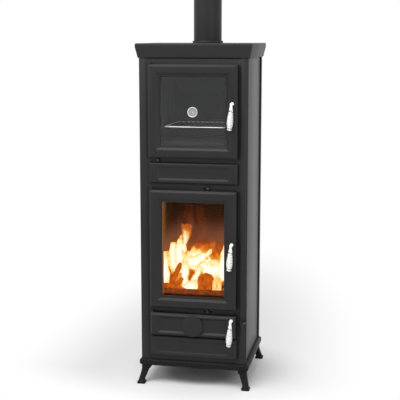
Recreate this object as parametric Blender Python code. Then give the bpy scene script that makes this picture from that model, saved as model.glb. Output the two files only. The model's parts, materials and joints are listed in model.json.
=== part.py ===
"""Wood stove with an oven above the fire, a flue pipe and three doors.

Metres, +Z up. The stove is drawn with x = 0 at its middle, y = 0 at the face of its front frame,
y growing to the back, and z = 0 on the floor. The empty called stove then moves it back or forth,
so that the world's origin is below the middle of the whole.
"""

import math
from collections import namedtuple

import bmesh
import bpy
from mathutils import Vector

# Clearances
SEAT = 0.0003  # between pieces that touch
RUNNING = 0.0015  # beside pieces that slide or turn
OVERRUN = 0.012  # how far a cut runs past a face
BITE = 0.001  # how far joined shapes reach into each other

# Body
BODY_WIDTH = 0.450
BODY_DEPTH = 0.400
SHEET = 0.003
SIDE_INSET = 0.0055  # how far the side panels lie inside the body's corners
REAR_WRAP = 0.022  # how far the rear panel wraps round each side

# Levels of the front, from the floor up
LEG_HEIGHT = 0.078
PLATE_THICKNESS = 0.030
BOTTOM_RAIL = 0.017
LOWER_PANEL_HEIGHT = 0.090
ASH_JOINT = 0.004
ASH_DOOR_HEIGHT = 0.098
FIRE_RAIL = 0.022
FIRE_DOOR_HEIGHT = 0.500
MIDDLE_RAIL = 0.025
MIDDLE_PANEL_HEIGHT = 0.089
OVEN_RAIL = 0.018
OVEN_DOOR_HEIGHT = 0.381
TOP_RAIL = 0.023
CORNICE_HEIGHT = 0.059

PLATE_TOP = LEG_HEIGHT + PLATE_THICKNESS
LOWER_PANEL_LOW = PLATE_TOP + BOTTOM_RAIL
ASH_LOW = LOWER_PANEL_LOW + LOWER_PANEL_HEIGHT + ASH_JOINT
FIRE_LOW = ASH_LOW + ASH_DOOR_HEIGHT + FIRE_RAIL
MIDDLE_PANEL_LOW = FIRE_LOW + FIRE_DOOR_HEIGHT + MIDDLE_RAIL
OVEN_LOW = MIDDLE_PANEL_LOW + MIDDLE_PANEL_HEIGHT + OVEN_RAIL
BODY_TOP = OVEN_LOW + OVEN_DOOR_HEIGHT + TOP_RAIL
STOVE_TOP = BODY_TOP + CORNICE_HEIGHT

# Base plate
PLATE_LIP = 0.009  # past the body all round
PLATE_NOSE = 0.008  # chamfer of its upper edge
PLATE_UNDERCUT = 0.006
PLATE_CORNER = 0.006

# Legs
LEG_SPLAY_X = 0.0165  # how far a foot stands past the body's side
LEG_SPLAY_Y = 0.026  # and past its front and back
LEG_BLOCK_WIDTH = 0.0365
LEG_BLOCK_HEIGHT = 0.016
LEG_KNEE_WIDTH = 0.031
LEG_ANKLE_WIDTH = 0.025
LEG_ANKLE_HEIGHT = 0.013
LEG_PAD_WIDTH = 0.034
LEG_PAD_HEIGHT = 0.007
LEG_EDGE = 0.003
LEG_TOP_REACH = 0.001  # how far its block stands past the body
LEG_SWEEP_POWER = 1.3
LEG_TAPER_POWER = 2

# Front frame
FRAME_THICKNESS = 0.008
COLUMN_WIDTH = 0.031
COLUMN_EDGE = 0.004  # flat left outside each column
COLUMN_CROWN = 0.0045
LUG_HALF_WIDTH = 0.007
LUG_REACH = 0.0065  # past the pin's axis

# Fixed panels
PANEL_GAP = 0.004  # to the columns
PANEL_THICKNESS = 0.013
PANEL_BEVEL = 0.007
PANEL_RECESS = 0.006
PANEL_RECESS_SLOPE = 0.008
PANEL_STILE = 0.037  # edge to recess at the sides
PANEL_BAR = 0.015  # edge to recess above and below

# Doors
OVEN_DOOR_GAP = 0.0055  # to the columns
FIRE_DOOR_GAP = 0.008
ASH_DOOR_GAP = 0.008
DOOR_STANDOFF = 0.003  # between the frame's face and a door's back
DOOR_EDGE = 0.014
DOOR_BEVEL = 0.009
DOOR_STILE = 0.034  # edge to inner bevel
DOOR_INNER_BEVEL = 0.009
LIP_WIDTH = 0.0075
LIP_STEP = 0.002
LIP_THICKNESS = 0.004
DOOR_FACE = DOOR_STANDOFF + DOOR_EDGE + DOOR_BEVEL
OPENING_INSET = 0.044  # from a door's edge to the frame's opening behind it
ASH_OPENING_INSET = 0.016  # the same above and below the ash door's opening
ASH_BAR = 0.014
ASH_RECESS_SLOPE = 0.007
ASH_HOLLOW_STILE = 0.044
ASH_HOLLOW_BAR = 0.020
ASH_WALL = 0.008

# Gaskets
GASKET_WIDTH = 0.008
GASKET_DEPTH = 0.004  # how far it sits in the door's groove
GASKET_INSET = 0.028
ASH_GASKET_INSET = 0.0045  # above and below on the low ash door

# Glass
GLASS_THICKNESS = 0.004
GLASS_POCKET = 0.0007  # how far its pocket reaches outside the inner bevel
RETAINER_THICKNESS = 0.003

# Hinges
HINGE_INSET = 0.007  # from a door's edge to its pins' axis
HINGE_REACH = 0.012  # from the frame's face to the axis
PIN_RADIUS = 0.0035
PIN_DEPTH = 0.012  # how far a pin enters its door
PIN_HEAD_RADIUS = 0.005
PIN_HEAD_HEIGHT = 0.0025
LUG_THICKNESS = ASH_JOINT - 2 * SEAT

# Latches
OVEN_LATCH_INSET = 0.0205
FIRE_LATCH_INSET = 0.0172
ASH_LATCH_INSET = 0.0171
OVEN_LATCH_HEIGHT = 0.225  # above the door's lower edge
FIRE_LATCH_HEIGHT = 0.283
ASH_LATCH_HEIGHT = 0.0815
LATCH_LEAN = math.radians(3.8)
SHAFT_RADIUS = 0.004
SHAFT_CLEARANCE = 0.0005
COLLAR_RADIUS = 0.007
COLLAR_THICKNESS = 0.003
TONGUE_LENGTH = 0.019
TONGUE_HALF_WIDTH = 0.005
TONGUE_THICKNESS = 0.004
KEEPER_THICKNESS = 0.002
KEEPER_BORDER = 0.0065
KEEPER_CATCH = 0.014  # width of the keeper beside its slot

# Grips
HANDLE_REACH = 0.050  # from the frame's face to the grip's axis
HUB_HEIGHT = 0.0065
HUB_RADIUS = 0.0058
NECK_RADIUS = 0.0050
FERRULE_LENGTH = 0.022
FERRULE_RADIUS = 0.0079
FERRULE_RIM = 0.002
CORE_RADIUS = 0.0024
CAP_RADIUS = 0.0095
CAP_HEIGHT = 0.005
WIRE_RADIUS = 0.0023
COIL_TURNS = 10.5
COIL_PITCH = 0.0060
COIL_TOP_RADIUS = 0.0053  # to the middle of the wire
COIL_BELLY_RADIUS = 0.0115
COIL_END_RADIUS = 0.0068
COIL_BELLY_SHARE = 0.66
COIL_BEND = 0.0015
COIL_BEND_TURN_SHARE = 0.25
POINTS_PER_TURN = 9

# Thermometer
DIAL_RADIUS = 0.0205
DIAL_HEIGHT = 0.189  # above the oven door's lower edge
DIAL_THICKNESS = 0.0075
DIAL_RIM = 0.0025
DIAL_DEPTH = 0.004
PROBE_RADIUS = 0.003
PROBE_LENGTH = 0.022
NEEDLE_LENGTH = 0.0135
NEEDLE_TAIL = 0.0045
NEEDLE_HALF_WIDTH = 0.0015
NEEDLE_THICKNESS = 0.001
NEEDLE_REST = math.radians(-135)  # clockwise from upright

# Medallion of the ash door
MEDALLION_RADIUS = 0.046
MEDALLION_THICKNESS = 0.003
MEDALLION_EDGE = 0.0015
MEDALLION_SPIGOT_RADIUS = 0.006
MEDALLION_SPIGOT_LENGTH = 0.006

# Inner shell
SHELL_WALL = 0.003
SHELL_SIDE_AIR = 0.0245  # between the shell and a side panel
SHELL_REAR_AIR = 0.012  # between the shell and the rear panel
SHELL_TOP_AIR = 0.004  # below the cornice
SHELF_THICKNESS = 0.0035
LEDGE_WIDTH = 0.012
HEARTH_THICKNESS = 0.038
ASH_HOLE_MARGIN = 0.010

# Firebox
FIREBOX_FRONT = 0.020
REAR_PASSAGE = 0.052  # between the back firebrick and the shell
BRICK_THICKNESS = 0.030
BRICK_OVERLAP = 0.0083  # how far the bricks stand above the frame's opening
BAFFLE_THICKNESS = 0.015
BAFFLE_GAP = 0.060  # smoke gap in front of the baffle
CEILING_DROP = 0.012  # below the middle panel's upper edge
CEILING_THICKNESS = 0.004
SMOKE_SLOT_WIDTH = 0.035
GRATE_SIDE_MARGIN = 0.053  # to the side bricks
GRATE_END_MARGIN = 0.050  # to the back brick and to the hearth's front
GRATE_THICKNESS = 0.008
GRATE_SEAT = 0.010
GRATE_BAR = 0.009
GRATE_SLOTS = 7
GUARD_HEIGHT = 0.030
GUARD_THICKNESS = 0.010
GUARD_FOOT = 0.012
GUARD_END_GAP = 0.006

# Oven
OVEN_WALL = 0.0025
OVEN_CLEARANCE = 0.0025  # from the frame's opening to the cavity
OVEN_REAR_PASSAGE = 0.0887  # between the oven's back and the shell
OVEN_FLANGE = 0.009
RUNNER_WIDTH = 0.014
RUNNER_THICKNESS = 0.003
RACK_LEVEL = 0.0765  # runner above the oven's floor
RACK_FRONT = 0.018
RACK_REAR_GAP = 0.0238
RACK_SIDE_GAP = 0.013
RACK_BAR = 0.004
RACK_WIRES = 11
STONE_THICKNESS = 0.016
STONE_MARGIN = 0.008
STONE_REAR_GAP = 0.0228

# Ash pan
PAN_SIDE_GAP = 0.012  # inside the frame's opening
PAN_FRONT = 0.022
PAN_REAR_GAP = 0.090
PAN_HEIGHT = 0.050
PAN_WALL = 0.002

# Top casting and flue
CORNICE_REACH = 0.015
CORNICE_EDGE = 0.016
CORNICE_SLANT = 0.008
CORNICE_LIP = 0.007
CORNICE_ROUND = 0.003
CORNICE_CORNER = 0.008
CASTING_RIM = 0.010
CASTING_TOP = 0.010
FLUE_INSET = 0.088  # from the body's back to the flue's axis
PIPE_RADIUS = 0.060
PIPE_WALL = 0.002
PIPE_LENGTH = 0.190
FLUE_COLLAR_RADIUS = 0.066
FLUE_COLLAR_HEIGHT = 0.009
FLUE_SEAT = 0.001
SPIGOT_RADIUS = 0.059
SPIGOT_WALL = 0.003
SPIGOT_ENTRY = 0.008  # how far it reaches into the shell

# Controls
KNOB_RADIUS = 0.006
KNOB_LENGTH = 0.011
KNOB_NECK = 0.0035
KNOB_STANDOFF = 0.006
SLIDE_X = 0.063
SLIDE_TRAVEL = 0.015  # each way
SLIDE_MARGIN = 0.020
SLIDE_HALF_HEIGHT = 0.0075
SLIDE_THICKNESS = 0.002
SECONDARY_HEIGHT = 0.0085  # above the fire door
PRIMARY_HEIGHT = 0.0125  # above the ash door
DAMPER_INSET = 0.079  # from the body's left side
DAMPER_HEIGHT = 0.009  # above the middle panel
DAMPER_HALF_WIDTH = 0.022
DAMPER_FRONT = 0.080
DAMPER_LENGTH = 0.100
DAMPER_THICKNESS = 0.003
DAMPER_SLOT_MARGIN = 0.006
REGULATOR_INSET = 0.013  # from the body's side to its rod
REGULATOR_HEIGHT = 0.070  # above the ash door's lower edge
REGULATOR_ROD_RADIUS = 0.003
REGULATOR_TAB_LENGTH = 0.020
REGULATOR_TAB_RADIUS = 0.0055
REGULATOR_TAB_ROUND = 0.0016
REGULATOR_STANDOFF = 0.009
REGULATOR_TAB_OFFSET = 0.0085  # how far the tab's middle stands outside the rod
REGULATOR_FRONT = 0.060
REGULATOR_LENGTH = 0.060
REGULATOR_HALF_HEIGHT = 0.020
REGULATOR_THICKNESS = 0.003
REGULATOR_PORT_RADIUS = 0.014

# Sides of round pieces
FEW = 12
SOME = 20
MANY = 40
CORNER_STEPS = 3
CROWN_STEPS = 8
KNEE_STEPS = 4

HALF_BODY = BODY_WIDTH / 2
SIDE_FACE = HALF_BODY - SIDE_INSET
HALF_SPAN = HALF_BODY - COLUMN_EDGE - COLUMN_WIDTH  # between the columns
PANEL_WIDTH = 2 * (HALF_SPAN - PANEL_GAP)
SHELL_FRONT = FRAME_THICKNESS + SEAT
SHELL_BACK = BODY_DEPTH - SHEET - SHELL_REAR_AIR
SHELL_REAR_INSIDE = SHELL_BACK - SHELL_WALL
SHELL_HALF_WIDTH = SIDE_FACE - SHEET - SHELL_SIDE_AIR
SHELL_INSIDE = SHELL_HALF_WIDTH - SHELL_WALL
SHELL_LOW = PLATE_TOP + SEAT
SHELL_HIGH = BODY_TOP - SHELL_TOP_AIR
FLUE_Y = BODY_DEPTH - FLUE_INSET
DAMPER_X = DAMPER_INSET - HALF_BODY
FIREBOX_DEPTH = SHELL_REAR_INSIDE - REAR_PASSAGE - BRICK_THICKNESS - FIREBOX_FRONT
GRATE_LENGTH = FIREBOX_DEPTH - 2 * GRATE_END_MARGIN
OVEN_DEPTH = SHELL_REAR_INSIDE - OVEN_REAR_PASSAGE - SHELL_FRONT
OVEN_REAR_INSIDE = SHELL_FRONT + OVEN_DEPTH - OVEN_WALL
RACK_LENGTH = OVEN_REAR_INSIDE - RACK_REAR_GAP - RACK_FRONT
STONE_LENGTH = OVEN_REAR_INSIDE - STONE_REAR_GAP - RACK_FRONT
PAN_LENGTH = SHELL_REAR_INSIDE - PAN_REAR_GAP - PAN_FRONT
HEARTH_TOP = FIRE_LOW + OPENING_INSET
HEARTH_SHELF = HEARTH_TOP - HEARTH_THICKNESS - SEAT
ASH_SHELF = ASH_LOW + ASH_OPENING_INSET + SEAT
CEILING = MIDDLE_PANEL_LOW + MIDDLE_PANEL_HEIGHT - CEILING_DROP
COIL_SPACE = COIL_TURNS * COIL_PITCH + 2 * (2 * WIRE_RADIUS + COIL_BEND + SEAT)
COIL_START = -FERRULE_LENGTH - FERRULE_RIM
FRONT_REACH = HANDLE_REACH + COIL_BELLY_RADIUS + WIRE_RADIUS
REAR_REACH = BODY_DEPTH + LEG_SPLAY_Y

Door = namedtuple(
    "Door", "name half low high latch_x latch_z open_half open_low open_high gasket_bar"
)


def door_sizes(name, gap, low, height, latch_inset, latch_height, opening_bar, gasket_bar):
    half = HALF_SPAN - gap
    return Door(
        name=name,
        half=half,
        low=low,
        high=low + height,
        latch_x=half - latch_inset,
        latch_z=low + latch_height,
        open_half=half - OPENING_INSET,
        open_low=low + opening_bar,
        open_high=low + height - opening_bar,
        gasket_bar=gasket_bar,
    )


OVEN = door_sizes(
    "oven", OVEN_DOOR_GAP, OVEN_LOW, OVEN_DOOR_HEIGHT,
    OVEN_LATCH_INSET, OVEN_LATCH_HEIGHT, OPENING_INSET, GASKET_INSET,
)
FIRE = door_sizes(
    "fire", FIRE_DOOR_GAP, FIRE_LOW, FIRE_DOOR_HEIGHT,
    FIRE_LATCH_INSET, FIRE_LATCH_HEIGHT, OPENING_INSET, GASKET_INSET,
)
ASH = door_sizes(
    "ash", ASH_DOOR_GAP, ASH_LOW, ASH_DOOR_HEIGHT,
    ASH_LATCH_INSET, ASH_LATCH_HEIGHT, ASH_OPENING_INSET, ASH_GASKET_INSET,
)
DOORS = (OVEN, FIRE, ASH)

OVEN_HALF_WIDTH = OVEN.open_half - OVEN_CLEARANCE
FIREBOX_HALF_WIDTH = FIRE.open_half
GRATE_HALF_WIDTH = FIREBOX_HALF_WIDTH - GRATE_SIDE_MARGIN
PAN_HALF_WIDTH = ASH.open_half - PAN_SIDE_GAP
BRICK_HEIGHT = FIRE.open_high + BRICK_OVERLAP - HEARTH_TOP - SEAT


def finish_of(name, colour, roughness, metallic):
    material = bpy.data.materials.new(name)
    material.use_nodes = True
    shader = material.node_tree.nodes["Principled BSDF"]
    shader.inputs["Base Color"].default_value = (*colour, 1)
    shader.inputs["Roughness"].default_value = roughness
    shader.inputs["Metallic"].default_value = metallic
    return material


def make_finishes():
    return {
        "cast": finish_of("black_cast_iron", (0.026, 0.026, 0.028), 0.55, 0.3),
        "paint": finish_of("black_sheet", (0.032, 0.032, 0.034), 0.5, 0.2),
        "grey": finish_of("grey_side_sheet", (0.10, 0.10, 0.105), 0.45, 0.3),
        "steel": finish_of("dark_steel", (0.12, 0.12, 0.12), 0.4, 0.9),
        "chrome": finish_of("chrome_wire", (0.85, 0.85, 0.86), 0.12, 1.0),
        "glass": finish_of("smoked_glass", (0.05, 0.045, 0.04), 0.05, 0.0),
        "rope": finish_of("gasket_rope", (0.16, 0.15, 0.14), 0.9, 0.0),
        "brick": finish_of("refractory", (0.45, 0.30, 0.18), 0.9, 0.0),
        "dial": finish_of("pale_dial", (0.75, 0.75, 0.72), 0.4, 0.0),
        "needle": finish_of("red_needle", (0.45, 0.03, 0.02), 0.5, 0.0),
        "enamel": finish_of("oven_lining", (0.06, 0.06, 0.065), 0.35, 0.4),
    }


def add_loft(bm, rings, closed=False):
    """Adds one closed body through rings of as many points each, capped, or joined in a circle."""
    loops = [[bm.verts.new(point) for point in ring] for ring in rings]
    pairs = list(zip(loops, loops[1:]))
    if closed:
        pairs.append((loops[-1], loops[0]))
    else:
        bm.faces.new(loops[0])
        bm.faces.new(loops[-1])
    for near, far in pairs:
        for i in range(len(near)):
            bm.faces.new((near[i - 1], near[i], far[i], far[i - 1]))


def level_ring(x_low, x_high, y_low, y_high, z):
    return [(x_low, y_low, z), (x_high, y_low, z), (x_high, y_high, z), (x_low, y_high, z)]


def upright_ring(x_low, x_high, z_low, z_high, y):
    return [(x_low, y, z_low), (x_high, y, z_low), (x_high, y, z_high), (x_low, y, z_high)]


def add_box(bm, x, y, z):
    """Adds a box from three pairs of low and high."""
    add_loft(bm, [level_ring(*x, *y, z[0]), level_ring(*x, *y, z[1])])


def rounded_ring(x, y, z, radius, steps=CORNER_STEPS):
    """A level rectangle with round corners; one step gives chamfers."""
    points = []
    corners = ((x[1], y[0], -90), (x[1], y[1], 0), (x[0], y[1], 90), (x[0], y[0], 180))
    for corner_x, corner_y, start in corners:
        centre_x = corner_x - math.copysign(radius, corner_x - sum(x) / 2)
        centre_y = corner_y - math.copysign(radius, corner_y - sum(y) / 2)
        for i in range(steps + 1):
            turn = math.radians(start + 90 * i / steps)
            points.append((centre_x + radius * math.cos(turn), centre_y + radius * math.sin(turn), z))
    return points


def add_turned(bm, profile, centre, axis, sides, closed=False):
    """Adds a turned body. The profile gives radius and distance along the axis from the centre."""
    axis = Vector(axis)
    across = axis.orthogonal().normalized()
    upward = axis.cross(across)
    rings = []
    for radius, along in profile:
        middle = Vector(centre) + axis * along
        ring = []
        for i in range(sides):
            turn = math.tau * i / sides
            ring.append(middle + radius * (across * math.cos(turn) + upward * math.sin(turn)))
        rings.append(ring)
    add_loft(bm, rings, closed)


def object_from(name, bm, finish, smooth=False):
    bmesh.ops.recalc_face_normals(bm, faces=bm.faces)
    mesh = bpy.data.meshes.new(name)
    bm.to_mesh(mesh)
    bm.free()
    if smooth:
        mesh.shade_smooth()
        mesh.set_sharp_from_angle(angle=math.radians(40))
    if finish:
        mesh.materials.append(finish)
    thing = bpy.data.objects.new(name, mesh)
    bpy.context.scene.collection.objects.link(thing)
    return thing


def lofted(name, rings, finish, closed=False, smooth=False):
    bm = bmesh.new()
    add_loft(bm, rings, closed)
    return object_from(name, bm, finish, smooth)


def boxed(name, x, y, z, finish):
    bm = bmesh.new()
    add_box(bm, x, y, z)
    return object_from(name, bm, finish)


def turned(name, profile, centre, axis, sides, finish, closed=False):
    bm = bmesh.new()
    add_turned(bm, profile, centre, axis, sides, closed)
    return object_from(name, bm, finish, smooth=True)


def shape_with(target, name, operation, fill):
    """Cuts or joins a hidden shape, which fill adds to a new bmesh in the target's own frame."""
    bm = bmesh.new()
    fill(bm)
    tool = object_from(name, bm, None)
    tool.parent = target
    tool.hide_render = True
    tool.display_type = "WIRE"
    modifier = target.modifiers.new(name, "BOOLEAN")
    modifier.object = tool
    modifier.operation = operation
    modifier.solver = "EXACT"


def cut(target, name, fill):
    shape_with(target, name, "DIFFERENCE", fill)


def join(target, name, fill):
    shape_with(target, name, "UNION", fill)


def empty_at(name, place, parent=None):
    empty = bpy.data.objects.new(name, None)
    bpy.context.scene.collection.objects.link(empty)
    empty.location = place
    empty.parent = parent
    return empty


def carry(parent, *things, origin=(0, 0, 0)):
    """Hangs things drawn in the stove's frame on an empty whose place in that frame is origin."""
    for thing in things:
        thing.parent = parent
        thing.location = -Vector(origin)


def make_base_plate(finish):
    half = HALF_BODY + PLATE_LIP
    levels = (
        (LEG_HEIGHT, PLATE_UNDERCUT),
        (LEG_HEIGHT + PLATE_UNDERCUT, 0),
        (PLATE_TOP - PLATE_NOSE, 0),
        (PLATE_TOP, PLATE_NOSE),
    )
    rings = []
    for z, inset in levels:
        x = (inset - half, half - inset)
        y = (inset - PLATE_LIP, BODY_DEPTH + PLATE_LIP - inset)
        rings.append(rounded_ring(x, y, z, PLATE_CORNER))
    return lofted("base_plate", rings, finish)


def leg_levels():
    """Height, share of the splay and width of a leg's rings, from the pad to the block."""
    levels = [(0, 1, LEG_PAD_WIDTH), (LEG_PAD_HEIGHT, 1, LEG_PAD_WIDTH)]
    pad_step = (LEG_PAD_WIDTH - LEG_ANKLE_WIDTH) / 2
    ankle_share = 1 - pad_step / LEG_SPLAY_X
    knee = LEG_HEIGHT - LEG_BLOCK_HEIGHT
    for i in range(KNEE_STEPS + 1):
        way = i / KNEE_STEPS
        height = LEG_ANKLE_HEIGHT + (knee - LEG_ANKLE_HEIGHT) * way
        width = LEG_ANKLE_WIDTH + (LEG_KNEE_WIDTH - LEG_ANKLE_WIDTH) * way**LEG_TAPER_POWER
        levels.append((height, ankle_share * (1 - way) ** LEG_SWEEP_POWER, width))
    levels.append((knee + BITE, 0, LEG_BLOCK_WIDTH))
    levels.append((LEG_HEIGHT - SEAT, 0, LEG_BLOCK_WIDTH))
    return levels


def make_leg(name, side, rear, finish):
    rings = []
    for height, splay_share, width in leg_levels():
        outer_x = HALF_BODY + LEG_TOP_REACH + (LEG_SPLAY_X - LEG_TOP_REACH) * splay_share
        outer_y = LEG_TOP_REACH + (LEG_SPLAY_Y - LEG_TOP_REACH) * splay_share
        x = sorted((side * outer_x, side * (outer_x - width)))
        if rear:
            y = (BODY_DEPTH + outer_y - width, BODY_DEPTH + outer_y)
        else:
            y = (-outer_y, width - outer_y)
        rings.append(rounded_ring(x, y, height, LEG_EDGE, steps=1))
    return lofted(name, rings, finish)


def make_side_panel(name, side, finish):
    x = sorted((side * SIDE_FACE, side * (SIDE_FACE - SHEET)))
    y = (FRAME_THICKNESS + SEAT, BODY_DEPTH - REAR_WRAP - SEAT)
    return boxed(name, x, y, (PLATE_TOP + SEAT, BODY_TOP - SEAT), finish)


def make_rear_panel(finish):
    """The rear sheet, wrapped round each side and turned in to meet the side panel."""
    outer, inner, lip = HALF_BODY, HALF_BODY - SHEET, SIDE_FACE - SHEET
    front, back = BODY_DEPTH - REAR_WRAP, BODY_DEPTH
    outline = (
        (-outer, front), (-outer, back), (outer, back), (outer, front),
        (lip, front), (lip, front + SHEET), (inner, front + SHEET), (inner, back - SHEET),
        (-inner, back - SHEET), (-inner, front + SHEET), (-lip, front + SHEET), (-lip, front),
    )
    rings = [[(x, y, z) for x, y in outline] for z in (PLATE_TOP + SEAT, BODY_TOP - SEAT)]
    return lofted("rear_panel", rings, finish)


def frame_outline():
    """The front frame seen from above, with its two crowned columns."""
    right = [(HALF_BODY, FRAME_THICKNESS), (HALF_BODY, 0)]
    for i in range(CROWN_STEPS + 1):
        way = i / CROWN_STEPS
        x = HALF_BODY - COLUMN_EDGE - COLUMN_WIDTH * way
        right.append((x, -COLUMN_CROWN * (1 - (2 * way - 1) ** 2)))
    return right + [(-x, y) for x, y in reversed(right)]


def add_frame_openings(bm):
    through = (-OVERRUN, FRAME_THICKNESS + OVERRUN)
    for door in DOORS:
        add_box(bm, (-door.open_half, door.open_half), through, (door.open_low, door.open_high))
        add_box(bm, *latch_slot(door, through))
    for z in (secondary_level(), primary_level()):
        half = SLIDE_TRAVEL + KNOB_NECK + RUNNING
        x = (SLIDE_X - half, SLIDE_X + half)
        add_box(bm, x, through, (z - KNOB_NECK - RUNNING, z + KNOB_NECK + RUNNING))
    for x, z, radius in (
        (DAMPER_X, damper_level(), KNOB_NECK),
        (HALF_BODY - REGULATOR_INSET, regulator_level(), REGULATOR_ROD_RADIUS),
    ):
        bore = radius + RUNNING
        add_turned(bm, [(bore, through[0]), (bore, through[1])], (x, 0, z), (0, 1, 0), FEW)


def latch_slot(door, y):
    side = TONGUE_HALF_WIDTH + RUNNING
    low = door.latch_z - TONGUE_LENGTH - RUNNING
    return (door.latch_x - side, door.latch_x + side), y, (low, door.latch_z + side)


def hinge_x(door):
    return HINGE_INSET - door.half


def add_lugs(bm):
    y = (-HINGE_REACH - LUG_REACH, BITE)
    for door in DOORS:
        x = (hinge_x(door) - LUG_HALF_WIDTH, hinge_x(door) + LUG_HALF_WIDTH)
        add_box(bm, x, y, (door.high + SEAT, door.high + SEAT + LUG_THICKNESS))
        add_box(bm, x, y, (door.low - SEAT - LUG_THICKNESS, door.low - SEAT))


def add_lug_bores(bm):
    bore = PIN_RADIUS + SEAT
    for door in DOORS:
        reach = LUG_THICKNESS + 2 * SEAT
        profile = [(bore, door.low - reach), (bore, door.high + reach)]
        add_turned(bm, profile, (hinge_x(door), -HINGE_REACH, 0), (0, 0, 1), FEW)


def make_front_frame(finish):
    outline = frame_outline()
    rings = [[(x, y, z) for x, y in outline] for z in (PLATE_TOP + SEAT, BODY_TOP - SEAT)]
    frame = lofted("front_frame", rings, finish)
    join(frame, "lugs", add_lugs)
    cut(frame, "frame_openings", add_frame_openings)
    cut(frame, "lug_bores", add_lug_bores)
    return frame


def make_panel(name, low, height, finish):
    """A fixed panel with bevelled edges round a recessed field."""
    face = PANEL_THICKNESS + SEAT
    steps = (
        (0, 0, SEAT),
        (0, 0, face - PANEL_BEVEL),
        (PANEL_BEVEL, PANEL_BEVEL, face),
        (PANEL_STILE, PANEL_BAR, face),
        (PANEL_STILE + PANEL_RECESS_SLOPE, PANEL_BAR + PANEL_RECESS_SLOPE, face - PANEL_RECESS),
    )
    rings = []
    for inset_x, inset_z, reach in steps:
        half = PANEL_WIDTH / 2 - inset_x
        rings.append(upright_ring(-half, half, low + inset_z, low + height - inset_z, -reach))
    return lofted(name, rings, finish)


def door_ring(door, inset_x, inset_z, reach):
    return upright_ring(
        inset_x - door.half, door.half - inset_x, door.low + inset_z, door.high - inset_z, -reach
    )


def groove_rings(door):
    """The rope's groove in a door's back, from its inner edge outwards."""
    inner, outer = GASKET_WIDTH + SEAT, -SEAT
    floor = DOOR_STANDOFF + GASKET_DEPTH + SEAT
    rings = []
    for edge, reach in ((inner, DOOR_STANDOFF), (inner, floor), (outer, floor), (outer, DOOR_STANDOFF)):
        rings.append(door_ring(door, GASKET_INSET + edge, door.gasket_bar + edge, reach))
    return rings


def add_door_bores(bm, door):
    bore = PIN_RADIUS + SEAT
    for level, way in ((door.high, -1), (door.low, 1)):
        ends = sorted((level - way * BITE, level + way * (PIN_DEPTH + BITE)))
        profile = [(bore, ends[0]), (bore, ends[1])]
        add_turned(bm, profile, (hinge_x(door), -HINGE_REACH, 0), (0, 0, 1), FEW)
    bore = SHAFT_RADIUS + SHAFT_CLEARANCE
    profile = [(bore, -DOOR_FACE - OVERRUN), (bore, OVERRUN)]
    add_turned(bm, profile, (door.latch_x, 0, door.latch_z), (0, 1, 0), SOME)


def glass_inset():
    return DOOR_STILE + DOOR_INNER_BEVEL - GLASS_POCKET


def lip_back():
    """Reach of the face that a glass lies against."""
    return DOOR_FACE - DOOR_INNER_BEVEL - LIP_STEP - LIP_THICKNESS


def make_glass_door_frame(door, finish):
    bevel_end = DOOR_STILE + DOOR_INNER_BEVEL
    lip = bevel_end + LIP_WIDTH
    floor = DOOR_FACE - DOOR_INNER_BEVEL
    steps = (
        (0, DOOR_STANDOFF),
        (0, DOOR_FACE - DOOR_BEVEL),
        (DOOR_BEVEL, DOOR_FACE),
        (DOOR_STILE, DOOR_FACE),
        (bevel_end, floor),
        (lip, floor - LIP_STEP),
        (lip, lip_back()),
        (glass_inset(), lip_back()),
        (glass_inset(), DOOR_STANDOFF),
    )
    rings = [door_ring(door, inset, inset, reach) for inset, reach in steps]
    frame = lofted(f"{door.name}_door_frame", rings + groove_rings(door), finish, closed=True)
    cut(frame, f"{door.name}_door_bores", lambda bm: add_door_bores(bm, door))
    return frame


def make_glass(door, finish):
    inset = glass_inset() + SEAT
    front = lip_back() - SEAT
    rings = [door_ring(door, inset, inset, reach) for reach in (front, front - GLASS_THICKNESS)]
    return lofted(f"{door.name}_door_glass", rings, finish)


def make_retainer(door, finish):
    outer = glass_inset() + SEAT
    inner = DOOR_STILE + DOOR_INNER_BEVEL + LIP_WIDTH
    front = lip_back() - GLASS_THICKNESS - 2 * SEAT
    back = front - RETAINER_THICKNESS
    corners = ((outer, front), (inner, front), (inner, back), (outer, back))
    rings = [door_ring(door, inset, inset, reach) for inset, reach in corners]
    return lofted(f"{door.name}_glass_retainer", rings, finish, closed=True)


def make_gasket(door, finish):
    front = DOOR_STANDOFF + GASKET_DEPTH
    corners = ((0, front), (GASKET_WIDTH, front), (GASKET_WIDTH, SEAT), (0, SEAT))
    rings = []
    for edge, reach in corners:
        rings.append(door_ring(door, GASKET_INSET + edge, door.gasket_bar + edge, reach))
    return lofted(f"{door.name}_door_gasket", rings, finish, closed=True)


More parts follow.
